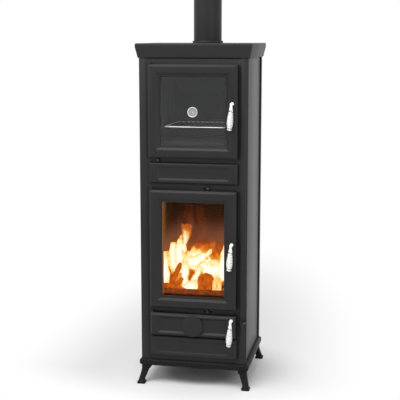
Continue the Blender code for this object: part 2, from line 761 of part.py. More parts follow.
def make_ash_door_frame(finish):
    field = DOOR_FACE - DOOR_INNER_BEVEL
    bar = ASH_BAR + ASH_RECESS_SLOPE
    steps = (
        (DOOR_BEVEL, DOOR_BEVEL, DOOR_FACE),
        (DOOR_STILE, ASH_BAR, DOOR_FACE),
        (DOOR_STILE + DOOR_INNER_BEVEL, bar, field),
    )
    rings = [door_ring(ASH, ASH_HOLLOW_STILE, ASH_HOLLOW_BAR, field - ASH_WALL)]
    rings.append(door_ring(ASH, ASH_HOLLOW_STILE, ASH_HOLLOW_BAR, DOOR_STANDOFF))
    rings += groove_rings(ASH)
    rings.append(door_ring(ASH, 0, 0, DOOR_STANDOFF))
    rings.append(door_ring(ASH, 0, 0, DOOR_FACE - DOOR_BEVEL))
    rings += [door_ring(ASH, *step) for step in steps]
    door = lofted("ash_door_frame", rings, finish)
    centre = (0, 0, (ASH.low + ASH.high) / 2)
    boss_radius = (ASH_DOOR_HEIGHT - DOOR_BEVEL) / 2
    boss = [(boss_radius, -DOOR_FACE), (boss_radius, BITE - field)]
    join(door, "ash_door_boss", lambda bm: add_turned(bm, boss, centre, (0, 1, 0), MANY))
    hole = MEDALLION_SPIGOT_RADIUS + SEAT
    depth = MEDALLION_SPIGOT_LENGTH + SEAT
    pocket = [(hole, -DOOR_FACE - OVERRUN), (hole, depth - DOOR_FACE)]
    cut(door, "medallion_hole", lambda bm: add_turned(bm, pocket, centre, (0, 1, 0), FEW))
    cut(door, "ash_door_bores", lambda bm: add_door_bores(bm, ASH))
    return door


def make_medallion(finish):
    back = DOOR_FACE + SEAT
    face = back + MEDALLION_THICKNESS
    profile = (
        (MEDALLION_SPIGOT_RADIUS, MEDALLION_SPIGOT_LENGTH - DOOR_FACE),
        (MEDALLION_SPIGOT_RADIUS, -back),
        (MEDALLION_RADIUS, -back),
        (MEDALLION_RADIUS, MEDALLION_EDGE - face),
        (MEDALLION_RADIUS - MEDALLION_EDGE, -face),
    )
    centre = (0, 0, (ASH.low + ASH.high) / 2)
    return turned("ash_medallion", profile, centre, (0, 1, 0), MANY, finish)


def make_pin(door, upper, finish):
    if upper:
        lug_top = door.high + SEAT + LUG_THICKNESS
        profile = (
            (PIN_RADIUS, door.high - PIN_DEPTH),
            (PIN_RADIUS, lug_top + SEAT),
            (PIN_HEAD_RADIUS, lug_top + SEAT),
            (PIN_HEAD_RADIUS, lug_top + SEAT + PIN_HEAD_HEIGHT),
        )
    else:
        lug_low = door.low - SEAT - LUG_THICKNESS
        profile = ((PIN_RADIUS, lug_low), (PIN_RADIUS, door.low + PIN_DEPTH))
    name = f"{door.name}_pin_{'top' if upper else 'bottom'}"
    return turned(name, profile, (hinge_x(door), -HINGE_REACH, 0), (0, 0, 1), FEW, finish)


def make_keeper(door, finish):
    front = FRAME_THICKNESS + SEAT
    back = front + KEEPER_THICKNESS
    x, _, z = latch_slot(door, None)
    low, high = z[0] - KEEPER_BORDER, z[1] + KEEPER_BORDER
    outer = [upright_ring(x[0] - KEEPER_BORDER, x[1] + KEEPER_CATCH, low, high, y) for y in (front, back)]
    inner = [upright_ring(*x, *z, y) for y in (back, front)]
    return lofted(f"{door.name}_keeper", outer + inner, finish, closed=True)


def lever_profile():
    """The lever down from its hub: ferrule, core inside the coil, and end cap."""
    core_end = COIL_START - COIL_SPACE
    return (
        (HUB_RADIUS / 2, HUB_HEIGHT),
        (HUB_RADIUS, HUB_HEIGHT / 2),
        (HUB_RADIUS, -HUB_HEIGHT / 2),
        (NECK_RADIUS, -HUB_HEIGHT),
        (FERRULE_RADIUS, -FERRULE_LENGTH),
        (FERRULE_RADIUS, COIL_START),
        (CORE_RADIUS, COIL_START),
        (CORE_RADIUS, core_end),
        (CAP_RADIUS, core_end),
        (CAP_RADIUS, core_end - CAP_HEIGHT / 2),
        (CAP_RADIUS / 2, core_end - CAP_HEIGHT),
    )


def make_latch(door, finish):
    """Shaft, lever and tongue, drawn round the shaft's axis, which meets the frame's face at 0."""
    tongue_front = FRAME_THICKNESS + KEEPER_THICKNESS + 2 * SEAT + RUNNING / 2
    tongue_back = tongue_front + TONGUE_THICKNESS
    collar = DOOR_FACE + SEAT
    shaft = (
        (SHAFT_RADIUS, -HANDLE_REACH),
        (SHAFT_RADIUS, -collar - COLLAR_THICKNESS),
        (COLLAR_RADIUS, -collar - COLLAR_THICKNESS),
        (COLLAR_RADIUS, -collar),
        (SHAFT_RADIUS, -collar),
        (SHAFT_RADIUS, tongue_back - BITE),
    )
    latch = turned(f"{door.name}_latch", shaft, (0, 0, 0), (0, 1, 0), SOME, finish)
    lever = lever_profile()
    grip_axis = (0, -HANDLE_REACH, 0)
    join(latch, f"{door.name}_lever", lambda bm: add_turned(bm, lever, grip_axis, (0, 0, 1), SOME))
    x = (-TONGUE_HALF_WIDTH, TONGUE_LENGTH)
    z = (-TONGUE_HALF_WIDTH, TONGUE_HALF_WIDTH)
    y = (tongue_front, tongue_back)
    join(latch, f"{door.name}_tongue", lambda bm: add_box(bm, x, y, z))
    return latch


def coil_radius(way):
    """Radius of the coil's middle line: swelling to the belly, then drawing in to the end."""
    if way < COIL_BELLY_SHARE:
        swell = math.sin(math.pi / 2 * way / COIL_BELLY_SHARE)
        return COIL_TOP_RADIUS + (COIL_BELLY_RADIUS - COIL_TOP_RADIUS) * swell
    fall = 1 - math.cos(math.pi / 2 * (way - COIL_BELLY_SHARE) / (1 - COIL_BELLY_SHARE))
    return COIL_BELLY_RADIUS + (COIL_END_RADIUS - COIL_BELLY_RADIUS) * fall


def coil_points():
    """The wire's middle line, from a straight start at the ferrule to a straight end at the cap."""
    straight = 2 * WIRE_RADIUS
    top = COIL_START - SEAT
    bottom = COIL_START - COIL_SPACE + SEAT
    helix_top = top - straight - COIL_BEND
    steps = round(COIL_TURNS * POINTS_PER_TURN)
    bend_steps = COIL_BEND_TURN_SHARE * POINTS_PER_TURN
    points = [Vector((COIL_TOP_RADIUS, 0, top))]
    for i in range(steps + 1):
        turn = math.tau * i / POINTS_PER_TURN
        radius = coil_radius(i / steps)
        z = helix_top - COIL_PITCH * i / POINTS_PER_TURN
        z += COIL_BEND * max(0, 1 - i / bend_steps) ** 2
        z -= COIL_BEND * max(0, 1 - (steps - i) / bend_steps) ** 2
        points.append(Vector((radius * math.cos(turn), radius * math.sin(turn), z)))
    last = points[-1]
    points.append(Vector((last.x, last.y, bottom)))
    return points


def least_gap(points):
    """Least clear distance between stretches of the wire more than half a turn apart."""
    apart = POINTS_PER_TURN // 2 + 1
    gaps = []
    for i, point in enumerate(points):
        gaps += [(point - other).length for other in points[i + apart :]]
    return min(gaps) - 2 * WIRE_RADIUS


def make_grip(door, finish):
    points = coil_points()
    curve = bpy.data.curves.new(f"{door.name}_grip", "CURVE")
    curve.dimensions = "3D"
    curve.bevel_depth = WIRE_RADIUS
    curve.bevel_resolution = 1
    curve.use_fill_caps = True
    spline = curve.splines.new("POLY")
    spline.points.add(len(points) - 1)
    for target, point in zip(spline.points, points):
        target.co = (point.x, point.y - HANDLE_REACH, point.z, 1)
    curve.materials.append(finish)
    grip = bpy.data.objects.new(f"{door.name}_grip", curve)
    bpy.context.scene.collection.objects.link(grip)
    print(f"{grip.name}: {COIL_TURNS} turns, least gap {1000 * least_gap(points):.2f} mm")
    return grip


def dial_level():
    return OVEN_LOW + DIAL_HEIGHT


def make_thermometer(finish):
    back = lip_back()
    face = back + DIAL_THICKNESS
    profile = (
        (PROBE_RADIUS, PROBE_LENGTH - back),
        (PROBE_RADIUS, -back),
        (DIAL_RADIUS, -back),
        (DIAL_RADIUS, DIAL_RIM / 2 - face),
        (DIAL_RADIUS - DIAL_RIM / 2, -face),
        (DIAL_RADIUS - DIAL_RIM, -face),
        (DIAL_RADIUS - DIAL_RIM, DIAL_DEPTH - face),
    )
    return turned("oven_thermometer", profile, (0, 0, dial_level()), (0, 1, 0), 2 * SOME, finish)


def add_probe_hole(bm):
    bore = PROBE_RADIUS + SEAT
    add_turned(bm, [(bore, -DOOR_FACE), (bore, OVERRUN)], (0, 0, dial_level()), (0, 1, 0), SOME)


def make_needle(finish):
    """Drawn round its own pivot on the dial's floor."""
    back = -SEAT
    outline = ((0, NEEDLE_LENGTH), (NEEDLE_HALF_WIDTH, 0), (0, -NEEDLE_TAIL), (-NEEDLE_HALF_WIDTH, 0))
    rings = [[(x, y, z) for x, z in outline] for y in (back, back - NEEDLE_THICKNESS)]
    return lofted("thermometer_needle", rings, finish)


def add_shell_shelves(bm):
    x = (-SHELL_INSIDE - BITE, SHELL_INSIDE + BITE)
    y = (SHELL_FRONT, SHELL_BACK - SHELL_WALL + BITE)
    for level in (ASH_SHELF, HEARTH_SHELF):
        add_box(bm, x, y, (level - SHELF_THICKNESS, level))
    ledge = SHELL_INSIDE - LEDGE_WIDTH
    z = (CEILING - CEILING_THICKNESS - SEAT - SHELF_THICKNESS, CEILING - CEILING_THICKNESS - SEAT)
    add_box(bm, (x[0], -ledge), y, z)
    add_box(bm, (ledge, x[1]), y, z)


def grate_span(margin):
    middle = FIREBOX_FRONT + FIREBOX_DEPTH / 2
    half = GRATE_LENGTH / 2 + margin
    return middle - half, middle + half


def add_shell_holes(bm):
    half = GRATE_HALF_WIDTH - GRATE_SEAT + ASH_HOLE_MARGIN
    span = grate_span(ASH_HOLE_MARGIN - GRATE_SEAT)
    add_box(bm, (-half, half), span, (HEARTH_SHELF - SHELF_THICKNESS - BITE, HEARTH_SHELF + BITE))
    bore = SPIGOT_RADIUS + SEAT
    profile = [(bore, SHELL_HIGH - SHELL_WALL - BITE), (bore, SHELL_HIGH + BITE)]
    add_turned(bm, profile, (0, FLUE_Y, 0), (0, 0, 1), MANY)
    port = [(REGULATOR_PORT_RADIUS, SHELL_INSIDE - BITE), (REGULATOR_PORT_RADIUS, SHELL_HALF_WIDTH + BITE)]
    middle = REGULATOR_FRONT + REGULATOR_LENGTH / 2
    add_turned(bm, port, (0, middle, regulator_level()), (1, 0, 0), SOME)


def make_inner_shell(finish):
    outer = (-SHELL_HALF_WIDTH, SHELL_HALF_WIDTH, SHELL_LOW, SHELL_HIGH)
    inner = (-SHELL_INSIDE, SHELL_INSIDE, SHELL_LOW + SHELL_WALL, SHELL_HIGH - SHELL_WALL)
    rings = [
        upright_ring(*outer, SHELL_BACK),
        upright_ring(*outer, SHELL_FRONT),
        upright_ring(*inner, SHELL_FRONT),
        upright_ring(*inner, SHELL_BACK - SHELL_WALL),
    ]
    shell = lofted("inner_shell", rings, finish)
    join(shell, "shell_shelves", add_shell_shelves)
    cut(shell, "shell_holes", add_shell_holes)
    return shell


def oven_floor():
    return OVEN.open_low + OVEN_CLEARANCE


def oven_roof():
    return OVEN.open_high - OVEN_CLEARANCE


def make_oven_box(finish):
    front = FRAME_THICKNESS + SEAT
    back = front + OVEN_DEPTH
    flange = front + OVEN_WALL

    def ring(grow, y):
        half = OVEN_HALF_WIDTH + grow
        return upright_ring(-half, half, oven_floor() - grow, oven_roof() + grow, y)

    rings = [
        ring(OVEN_WALL, back),
        ring(OVEN_WALL, flange),
        ring(OVEN_WALL + OVEN_FLANGE, flange),
        ring(OVEN_WALL + OVEN_FLANGE, front),
        ring(0, front),
        ring(0, back - OVEN_WALL),
    ]
    box = lofted("oven_box", rings, finish)

    def add_runners(bm):
        level = oven_floor() + RACK_LEVEL
        z = (level - RUNNER_THICKNESS, level)
        y = (RACK_FRONT, RACK_FRONT + RACK_LENGTH)
        outer, inner = OVEN_HALF_WIDTH + BITE, OVEN_HALF_WIDTH - RUNNER_WIDTH
        add_box(bm, (-outer, -inner), y, z)
        add_box(bm, (inner, outer), y, z)

    join(box, "rack_runners", add_runners)
    return box


def make_oven_stone(finish):
    half = OVEN_HALF_WIDTH - STONE_MARGIN
    y = (RACK_FRONT, RACK_FRONT + STONE_LENGTH)
    low = oven_floor() + SEAT
    return boxed("oven_stone", (-half, half), y, (low, low + STONE_THICKNESS), finish)


def add_lattice(bm, x_edges, y_edges, z):
    """Adds a flat grid whose odd cells, counted along both edges, are holes."""
    tops = [[bm.verts.new((x, y, z[1])) for y in y_edges] for x in x_edges]
    lows = [[bm.verts.new((x, y, z[0])) for y in y_edges] for x in x_edges]
    last_x, last_y = len(x_edges) - 2, len(y_edges) - 2

    def solid(i, j):
        inside = 0 <= i <= last_x and 0 <= j <= last_y
        return inside and not (i % 2 and j % 2)

    for i in range(last_x + 1):
        for j in range(last_y + 1):
            if not solid(i, j):
                continue
            corners = ((i, j), (i + 1, j), (i + 1, j + 1), (i, j + 1))
            sides = ((i, j - 1), (i + 1, j), (i, j + 1), (i - 1, j))
            bm.faces.new([tops[a][b] for a, b in corners])
            bm.faces.new([lows[a][b] for a, b in reversed(corners)])
            for k, beside in enumerate(sides):
                if solid(*beside):
                    continue
                (a, b), (c, d) = corners[k], corners[(k + 1) % len(corners)]
                bm.faces.new((lows[a][b], lows[c][d], tops[c][d], tops[a][b]))


def bar_edges(low, high, bar, bars):
    """Edges of evenly spaced bars from low to high."""
    pitch = (high - low - bar) / (bars - 1)
    edges = []
    for i in range(bars):
        edges += [low + i * pitch, low + i * pitch + bar]
    return edges


def make_oven_rack(finish):
    half = OVEN_HALF_WIDTH - RACK_SIDE_GAP
    low = oven_floor() + RACK_LEVEL + SEAT
    bm = bmesh.new()
    x_edges = bar_edges(-half, half, RACK_BAR, RACK_WIRES)
    y_edges = bar_edges(RACK_FRONT, RACK_FRONT + RACK_LENGTH, RACK_BAR, 2)
    add_lattice(bm, x_edges, y_edges, (low, low + RACK_BAR))
    return object_from("oven_rack", bm, finish)


def make_firebox_ceiling(finish):
    half = SHELL_INSIDE - SEAT
    y = (FRAME_THICKNESS + SEAT, SHELL_BACK - SHELL_WALL - SEAT)
    z = (CEILING - CEILING_THICKNESS, CEILING)
    ceiling = boxed("firebox_ceiling", (-half, half), y, z, finish)

    def add_slots(bm):
        through = (z[0] - BITE, z[1] + BITE)
        margin = DAMPER_SLOT_MARGIN
        x = (DAMPER_X - DAMPER_HALF_WIDTH + margin, DAMPER_X + DAMPER_HALF_WIDTH - margin)
        add_box(bm, x, (DAMPER_FRONT + margin, DAMPER_FRONT + DAMPER_LENGTH - margin), through)
        outer = half - LEDGE_WIDTH - margin
        back = y[1] - margin
        add_box(bm, (-outer, outer), (back - SMOKE_SLOT_WIDTH, back), through)

    cut(ceiling, "smoke_slots", add_slots)
    return ceiling


def make_firebox_lining(finish):
    """Hearth block, three firebricks and the baffle that lies on them."""
    inner, outer = FIREBOX_HALF_WIDTH, FIREBOX_HALF_WIDTH + BRICK_THICKNESS
    front, back = FIREBOX_FRONT, FIREBOX_FRONT + FIREBOX_DEPTH
    rear = back + BRICK_THICKNESS
    hearth_z = (HEARTH_SHELF + SEAT, HEARTH_TOP)
    hearth = boxed("hearth_block", (-outer, outer), (front, rear), hearth_z, finish)

    def add_grate_seat(bm):
        half = GRATE_HALF_WIDTH
        top = HEARTH_TOP + BITE
        add_box(bm, (-half, half), grate_span(0), (HEARTH_TOP - GRATE_THICKNESS - SEAT, top))

    def add_ash_drop(bm):
        half = GRATE_HALF_WIDTH - GRATE_SEAT
        add_box(bm, (-half, half), grate_span(-GRATE_SEAT), (HEARTH_SHELF, HEARTH_TOP))

    cut(hearth, "grate_seat", add_grate_seat)
    cut(hearth, "ash_drop", add_ash_drop)
    z = (HEARTH_TOP + SEAT, HEARTH_TOP + SEAT + BRICK_HEIGHT)
    left = boxed("firebrick_left", (-outer, -inner), (front, back), z, finish)
    right = boxed("firebrick_right", (inner, outer), (front, back), z, finish)
    rear_brick = boxed("firebrick_back", (-outer, outer), (back + SEAT, rear), z, finish)
    low = z[1] + SEAT
    half = inner + BRICK_THICKNESS / 2
    y = (front + BAFFLE_GAP, rear)
    baffle = boxed("baffle_plate", (-half, half), y, (low, low + BAFFLE_THICKNESS), finish)
    return hearth, left, right, rear_brick, baffle


def make_grate(finish):
    half = GRATE_HALF_WIDTH - SEAT
    low, high = grate_span(-SEAT)
    bm = bmesh.new()
    x_edges = bar_edges(-half, half, GRATE_BAR, GRATE_SLOTS + 1)
    y_edges = bar_edges(low, high, GRATE_SEAT, 2)
    add_lattice(bm, x_edges, y_edges, (HEARTH_TOP - GRATE_THICKNESS, HEARTH_TOP))
    return object_from("grate", bm, finish)


def make_log_guard(finish):
    """A cast bar with a foot, lying across the front of the hearth."""
    half = FIREBOX_HALF_WIDTH - GUARD_END_GAP
    low = HEARTH_TOP + SEAT
    front = FIREBOX_FRONT
    outline = (
        (front, low), (front + GUARD_THICKNESS + GUARD_FOOT, low),
        (front + GUARD_THICKNESS + GUARD_FOOT, low + GUARD_THICKNESS / 2),
        (front + GUARD_THICKNESS, low + GUARD_THICKNESS),
        (front + GUARD_THICKNESS, low + GUARD_HEIGHT), (front, low + GUARD_HEIGHT),
    )
    rings = [[(x, y, z) for y, z in outline] for x in (-half, half)]
    return lofted("log_guard", rings, finish)


def make_ash_pan(finish):
    low = ASH_SHELF + SEAT
    high = low + PAN_HEIGHT
    back = PAN_FRONT + PAN_LENGTH
    inner = PAN_HALF_WIDTH - PAN_WALL
    wall_y = (PAN_FRONT + PAN_WALL, back - PAN_WALL)
    rings = [
        level_ring(-PAN_HALF_WIDTH, PAN_HALF_WIDTH, PAN_FRONT, back, low),
        level_ring(-PAN_HALF_WIDTH, PAN_HALF_WIDTH, PAN_FRONT, back, high),
        level_ring(-inner, inner, *wall_y, high),
        level_ring(-inner, inner, *wall_y, low + PAN_WALL),
    ]
    return lofted("ash_pan", rings, finish)


def make_top_casting(finish):
    lip = CORNICE_REACH - CORNICE_SLANT
    low = BODY_TOP
    levels = (
        (low, lip - CORNICE_ROUND),
        (low + CORNICE_ROUND, lip),
        (low + CORNICE_LIP, lip),
        (STOVE_TOP - CORNICE_EDGE, CORNICE_REACH),
        (STOVE_TOP - CORNICE_ROUND, CORNICE_REACH),
        (STOVE_TOP, CORNICE_REACH - CORNICE_ROUND),
    )
    rings = []
    for z, reach in levels:
        half = HALF_BODY + reach
        rings.append(rounded_ring((-half, half), (-reach, BODY_DEPTH + reach), z, CORNICE_CORNER))
    casting = lofted("top_casting", rings, finish)

    def add_hollow(bm):
        half = HALF_BODY - CASTING_RIM
        y = (CASTING_RIM, BODY_DEPTH - CASTING_RIM)
        add_box(bm, (-half, half), y, (BODY_TOP - OVERRUN, STOVE_TOP - CASTING_TOP))

    def add_flue_hole(bm):
        bore = SPIGOT_RADIUS + SEAT
        profile = [(bore, STOVE_TOP - CASTING_TOP - OVERRUN), (bore, STOVE_TOP + OVERRUN)]
        add_turned(bm, profile, (0, FLUE_Y, 0), (0, 0, 1), MANY)

    cut(casting, "casting_hollow", add_hollow)
    cut(casting, "flue_hole", add_flue_hole)
    return casting


def make_flue_collar(finish):
    low = STOVE_TOP + SEAT
    high = low + FLUE_COLLAR_HEIGHT
    socket = PIPE_RADIUS + SEAT
    bore = SPIGOT_RADIUS - SPIGOT_WALL
    end = SHELL_HIGH - SHELL_WALL - SPIGOT_ENTRY
    profile = (
        (FLUE_COLLAR_RADIUS, low), (FLUE_COLLAR_RADIUS, high - FLUE_SEAT),
        (FLUE_COLLAR_RADIUS - FLUE_SEAT, high), (socket, high), (socket, low + FLUE_SEAT),
        (bore, low + FLUE_SEAT), (bore, end), (SPIGOT_RADIUS, end), (SPIGOT_RADIUS, low),
    )
    return turned("flue_collar", profile, (0, FLUE_Y, 0), (0, 0, 1), MANY, finish, closed=True)


def make_flue_pipe(finish):
    low = STOVE_TOP + FLUE_SEAT + 2 * SEAT
    high = STOVE_TOP + PIPE_LENGTH
    bore = PIPE_RADIUS - PIPE_WALL
    profile = ((PIPE_RADIUS, low), (PIPE_RADIUS, high), (bore, high), (bore, low))
    return turned("flue_pipe", profile, (0, FLUE_Y, 0), (0, 0, 1), MANY, finish, closed=True)


def secondary_level():
    return FIRE.high + SECONDARY_HEIGHT


def primary_level():
    return ASH.high + PRIMARY_HEIGHT


def damper_level():
    return MIDDLE_PANEL_LOW + MIDDLE_PANEL_HEIGHT + DAMPER_HEIGHT


def regulator_level():
    return ASH_LOW + REGULATOR_HEIGHT


def knob_profile(end):
    """A pull knob and its stem, along +Y from the knob's front to the stem's end."""
    front = -KNOB_STANDOFF - KNOB_LENGTH
    return (
        (KNOB_RADIUS / 2, front),
        (KNOB_RADIUS, front + KNOB_RADIUS / 2),
        (KNOB_RADIUS, -KNOB_STANDOFF),
        (KNOB_NECK, -KNOB_STANDOFF),
        (KNOB_NECK, end),
    )


def make_air_slide(name, level, finish):
    plate_front = FRAME_THICKNESS + SEAT
    plate_back = plate_front + SLIDE_THICKNESS
    centre = (SLIDE_X, 0, level)
    slide = turned(name, knob_profile(plate_back - BITE / 2), centre, (0, 1, 0), FEW, finish)
    reach = SLIDE_TRAVEL + KNOB_NECK + SLIDE_MARGIN
    x = (SLIDE_X - reach, SLIDE_X + reach)
    z = (level - SLIDE_HALF_HEIGHT, level + SLIDE_HALF_HEIGHT)
    join(slide, f"{name}_plate", lambda bm: add_box(bm, x, (plate_front, plate_back), z))
    return slide


def make_damper_rod(finish):
    level = damper_level()
    plate_low = CEILING + SEAT
    plate_top = plate_low + DAMPER_THICKNESS
    lug_end = DAMPER_FRONT + 2 * DAMPER_THICKNESS
    rod = turned(
        "damper_rod", knob_profile(lug_end - BITE), (DAMPER_X, 0, level), (0, 1, 0), FEW, finish
    )
    x = (DAMPER_X - DAMPER_HALF_WIDTH, DAMPER_X + DAMPER_HALF_WIDTH)
    lug_x = (DAMPER_X - KNOB_RADIUS, DAMPER_X + KNOB_RADIUS)
    y = (DAMPER_FRONT, DAMPER_FRONT + DAMPER_LENGTH)
    join(rod, "damper_shutter", lambda bm: add_box(bm, x, y, (plate_low, plate_top)))
    lug_z = (plate_top - BITE, level + KNOB_RADIUS)
    join(rod, "damper_lug", lambda bm: add_box(bm, lug_x, (y[0], lug_end), lug_z))
    return rod


def make_air_regulator(finish):
    """A rod at the right corner with a cross tab in front and a shutter over the shell's port."""
    rod_x = HALF_BODY - REGULATOR_INSET
    level = regulator_level()
    tab_y = -COLUMN_CROWN - REGULATOR_STANDOFF
    rod_end = REGULATOR_FRONT + REGULATOR_LENGTH
    profile = ((REGULATOR_ROD_RADIUS, tab_y), (REGULATOR_ROD_RADIUS, rod_end - BITE))
    rod = turned("air_regulator", profile, (rod_x, 0, level), (0, 1, 0), FEW, finish)
    tab_x = rod_x + REGULATOR_TAB_OFFSET
    half = REGULATOR_TAB_LENGTH / 2
    radius, edge = REGULATOR_TAB_RADIUS, REGULATOR_TAB_ROUND
    tab = (
        (radius - edge, tab_x - half), (radius, tab_x - half + edge),
        (radius, tab_x + half - edge), (radius - edge, tab_x + half),
    )
    join(rod, "regulator_tab", lambda bm: add_turned(bm, tab, (0, tab_y, level), (1, 0, 0), FEW))
    plate_x = (SHELL_HALF_WIDTH + SEAT, SHELL_HALF_WIDTH + SEAT + REGULATOR_THICKNESS)
    y = (REGULATOR_FRONT, rod_end)
    z = (level - REGULATOR_HALF_HEIGHT, level + REGULATOR_HALF_HEIGHT)
    join(rod, "regulator_shutter", lambda bm: add_box(bm, plate_x, y, z))
    web_x = (plate_x[1] - BITE, rod_x)
    web_z = (level - REGULATOR_ROD_RADIUS / 2, level + REGULATOR_ROD_RADIUS / 2)
    join(rod, "regulator_web", lambda bm: add_box(bm, web_x, y, web_z))
    return rod


def make_shell(stove, finishes):
    cast, sheet = finishes["cast"], finishes["grey"]
    carry(stove, make_base_plate(cast), make_front_frame(cast), make_top_casting(cast))
    for side, side_name in ((-1, "left"), (1, "right")):
        carry(stove, make_side_panel(f"side_panel_{side_name}", side, sheet))
        for rear, end_name in ((False, "front"), (True, "rear")):
            carry(stove, make_leg(f"leg_{end_name}_{side_name}", side, rear, cast))
    carry(stove, make_rear_panel(finishes["paint"]))
    carry(stove, make_panel("middle_panel", MIDDLE_PANEL_LOW, MIDDLE_PANEL_HEIGHT, cast))
    carry(stove, make_panel("lower_panel", LOWER_PANEL_LOW, LOWER_PANEL_HEIGHT, cast))
    carry(stove, make_flue_collar(cast), make_flue_pipe(finishes["paint"]))


def make_inside(stove, finishes):
    carry(stove, make_inner_shell(finishes["steel"]), make_oven_box(finishes["enamel"]))
    carry(stove, make_firebox_ceiling(finishes["steel"]), make_grate(finishes["cast"]))
    carry(stove, *make_firebox_lining(finishes["brick"]), make_log_guard(finishes["cast"]))
    carry(stove, make_oven_stone(finishes["brick"]))
    carry(stove, make_oven_rack(finishes["chrome"]), make_ash_pan(finishes["steel"]))


def make_controls(stove, finishes):
    steel = finishes["steel"]
    carry(stove, make_air_slide("secondary_air_slide", secondary_level(), steel))
    carry(stove, make_air_slide("primary_air_slide", primary_level(), steel))
    carry(stove, make_damper_rod(steel), make_air_regulator(steel))
    for door in DOORS:
        carry(stove, make_keeper(door, steel))
        carry(stove, make_pin(door, True, steel), make_pin(door, False, steel))


def make_door_hardware(door, stove, finishes):
    """The hinge's empty, with the latch's leaning empty on it."""
    axis = (hinge_x(door), -HINGE_REACH, door.low)
    hinge = empty_at(f"{door.name}_hinge", axis, stove)
    shaft = Vector((door.latch_x, 0, door.latch_z)) - Vector(axis)
    pivot = empty_at(f"{door.name}_latch_pivot", shaft, hinge)
    pivot.rotation_euler = (0, LATCH_LEAN, 0)
    carry(pivot, make_latch(door, finishes["steel"]), make_grip(door, finishes["chrome"]))
    carry(hinge, make_gasket(door, finishes["rope"]), origin=axis)
    return hinge, axis


def make_oven_door(stove, finishes):
    hinge, axis = make_door_hardware(OVEN, stove, finishes)
    glass = make_glass(OVEN, finishes["glass"])
    cut(glass, "probe_hole", add_probe_hole)
    frame = make_glass_door_frame(OVEN, finishes["cast"])
    retainer = make_retainer(OVEN, finishes["steel"])
    carry(hinge, frame, glass, retainer, make_thermometer(finishes["dial"]), origin=axis)
    dial_floor = (0, DIAL_DEPTH - DIAL_THICKNESS - lip_back(), dial_level())
    pivot = empty_at("needle_pivot", Vector(dial_floor) - Vector(axis), hinge)
    pivot.rotation_euler = (0, NEEDLE_REST, 0)
    carry(pivot, make_needle(finishes["needle"]))


def make_fire_door(stove, finishes):
    hinge, axis = make_door_hardware(FIRE, stove, finishes)
    frame = make_glass_door_frame(FIRE, finishes["cast"])
    glass = make_glass(FIRE, finishes["glass"])
    carry(hinge, frame, glass, make_retainer(FIRE, finishes["steel"]), origin=axis)


def make_ash_door(stove, finishes):
    hinge, axis = make_door_hardware(ASH, stove, finishes)
    carry(hinge, make_ash_door_frame(finishes["cast"]), make_medallion(finishes["cast"]), origin=axis)


def main():
    for thing in list(bpy.data.objects):
        bpy.data.objects.remove(thing, do_unlink=True)
    finishes = make_finishes()
    stove = empty_at("stove", (0, (FRONT_REACH - REAR_REACH) / 2, 0))
    make_shell(stove, finishes)
    make_inside(stove, finishes)
    make_controls(stove, finishes)
    make_oven_door(stove, finishes)
    make_fire_door(stove, finishes)
    make_ash_door(stove, finishes)


main()
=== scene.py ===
import json
import math
import random

import bmesh
import bpy
from mathutils import Matrix, Vector, noise


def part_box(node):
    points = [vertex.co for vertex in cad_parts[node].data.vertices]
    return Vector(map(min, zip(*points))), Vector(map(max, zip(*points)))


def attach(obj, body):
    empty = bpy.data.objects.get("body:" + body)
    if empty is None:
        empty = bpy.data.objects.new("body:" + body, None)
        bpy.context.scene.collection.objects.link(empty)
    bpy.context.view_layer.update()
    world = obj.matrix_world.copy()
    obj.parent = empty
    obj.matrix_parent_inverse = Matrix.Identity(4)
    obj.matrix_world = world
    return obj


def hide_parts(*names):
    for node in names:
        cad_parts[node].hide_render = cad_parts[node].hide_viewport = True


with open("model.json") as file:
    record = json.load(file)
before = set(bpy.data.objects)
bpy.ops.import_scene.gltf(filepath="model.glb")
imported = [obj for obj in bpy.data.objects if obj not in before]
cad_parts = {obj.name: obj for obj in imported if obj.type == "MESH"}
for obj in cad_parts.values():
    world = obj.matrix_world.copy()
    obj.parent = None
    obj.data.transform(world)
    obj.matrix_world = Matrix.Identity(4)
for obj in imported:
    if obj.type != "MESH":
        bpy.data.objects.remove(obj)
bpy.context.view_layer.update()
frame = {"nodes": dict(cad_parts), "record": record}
bodies = frame["record"]["behaviour"]["bodies"]
bodyOf = {node: body for body, nodes in bodies.items() for node in nodes}
slotOf = {part["node"]: part["material_slot"] for part in frame["record"]["subparts"]}
faceY = -0.1811  # front face of the frame's plate
print("frame loaded,", len(bodyOf), "nodes")


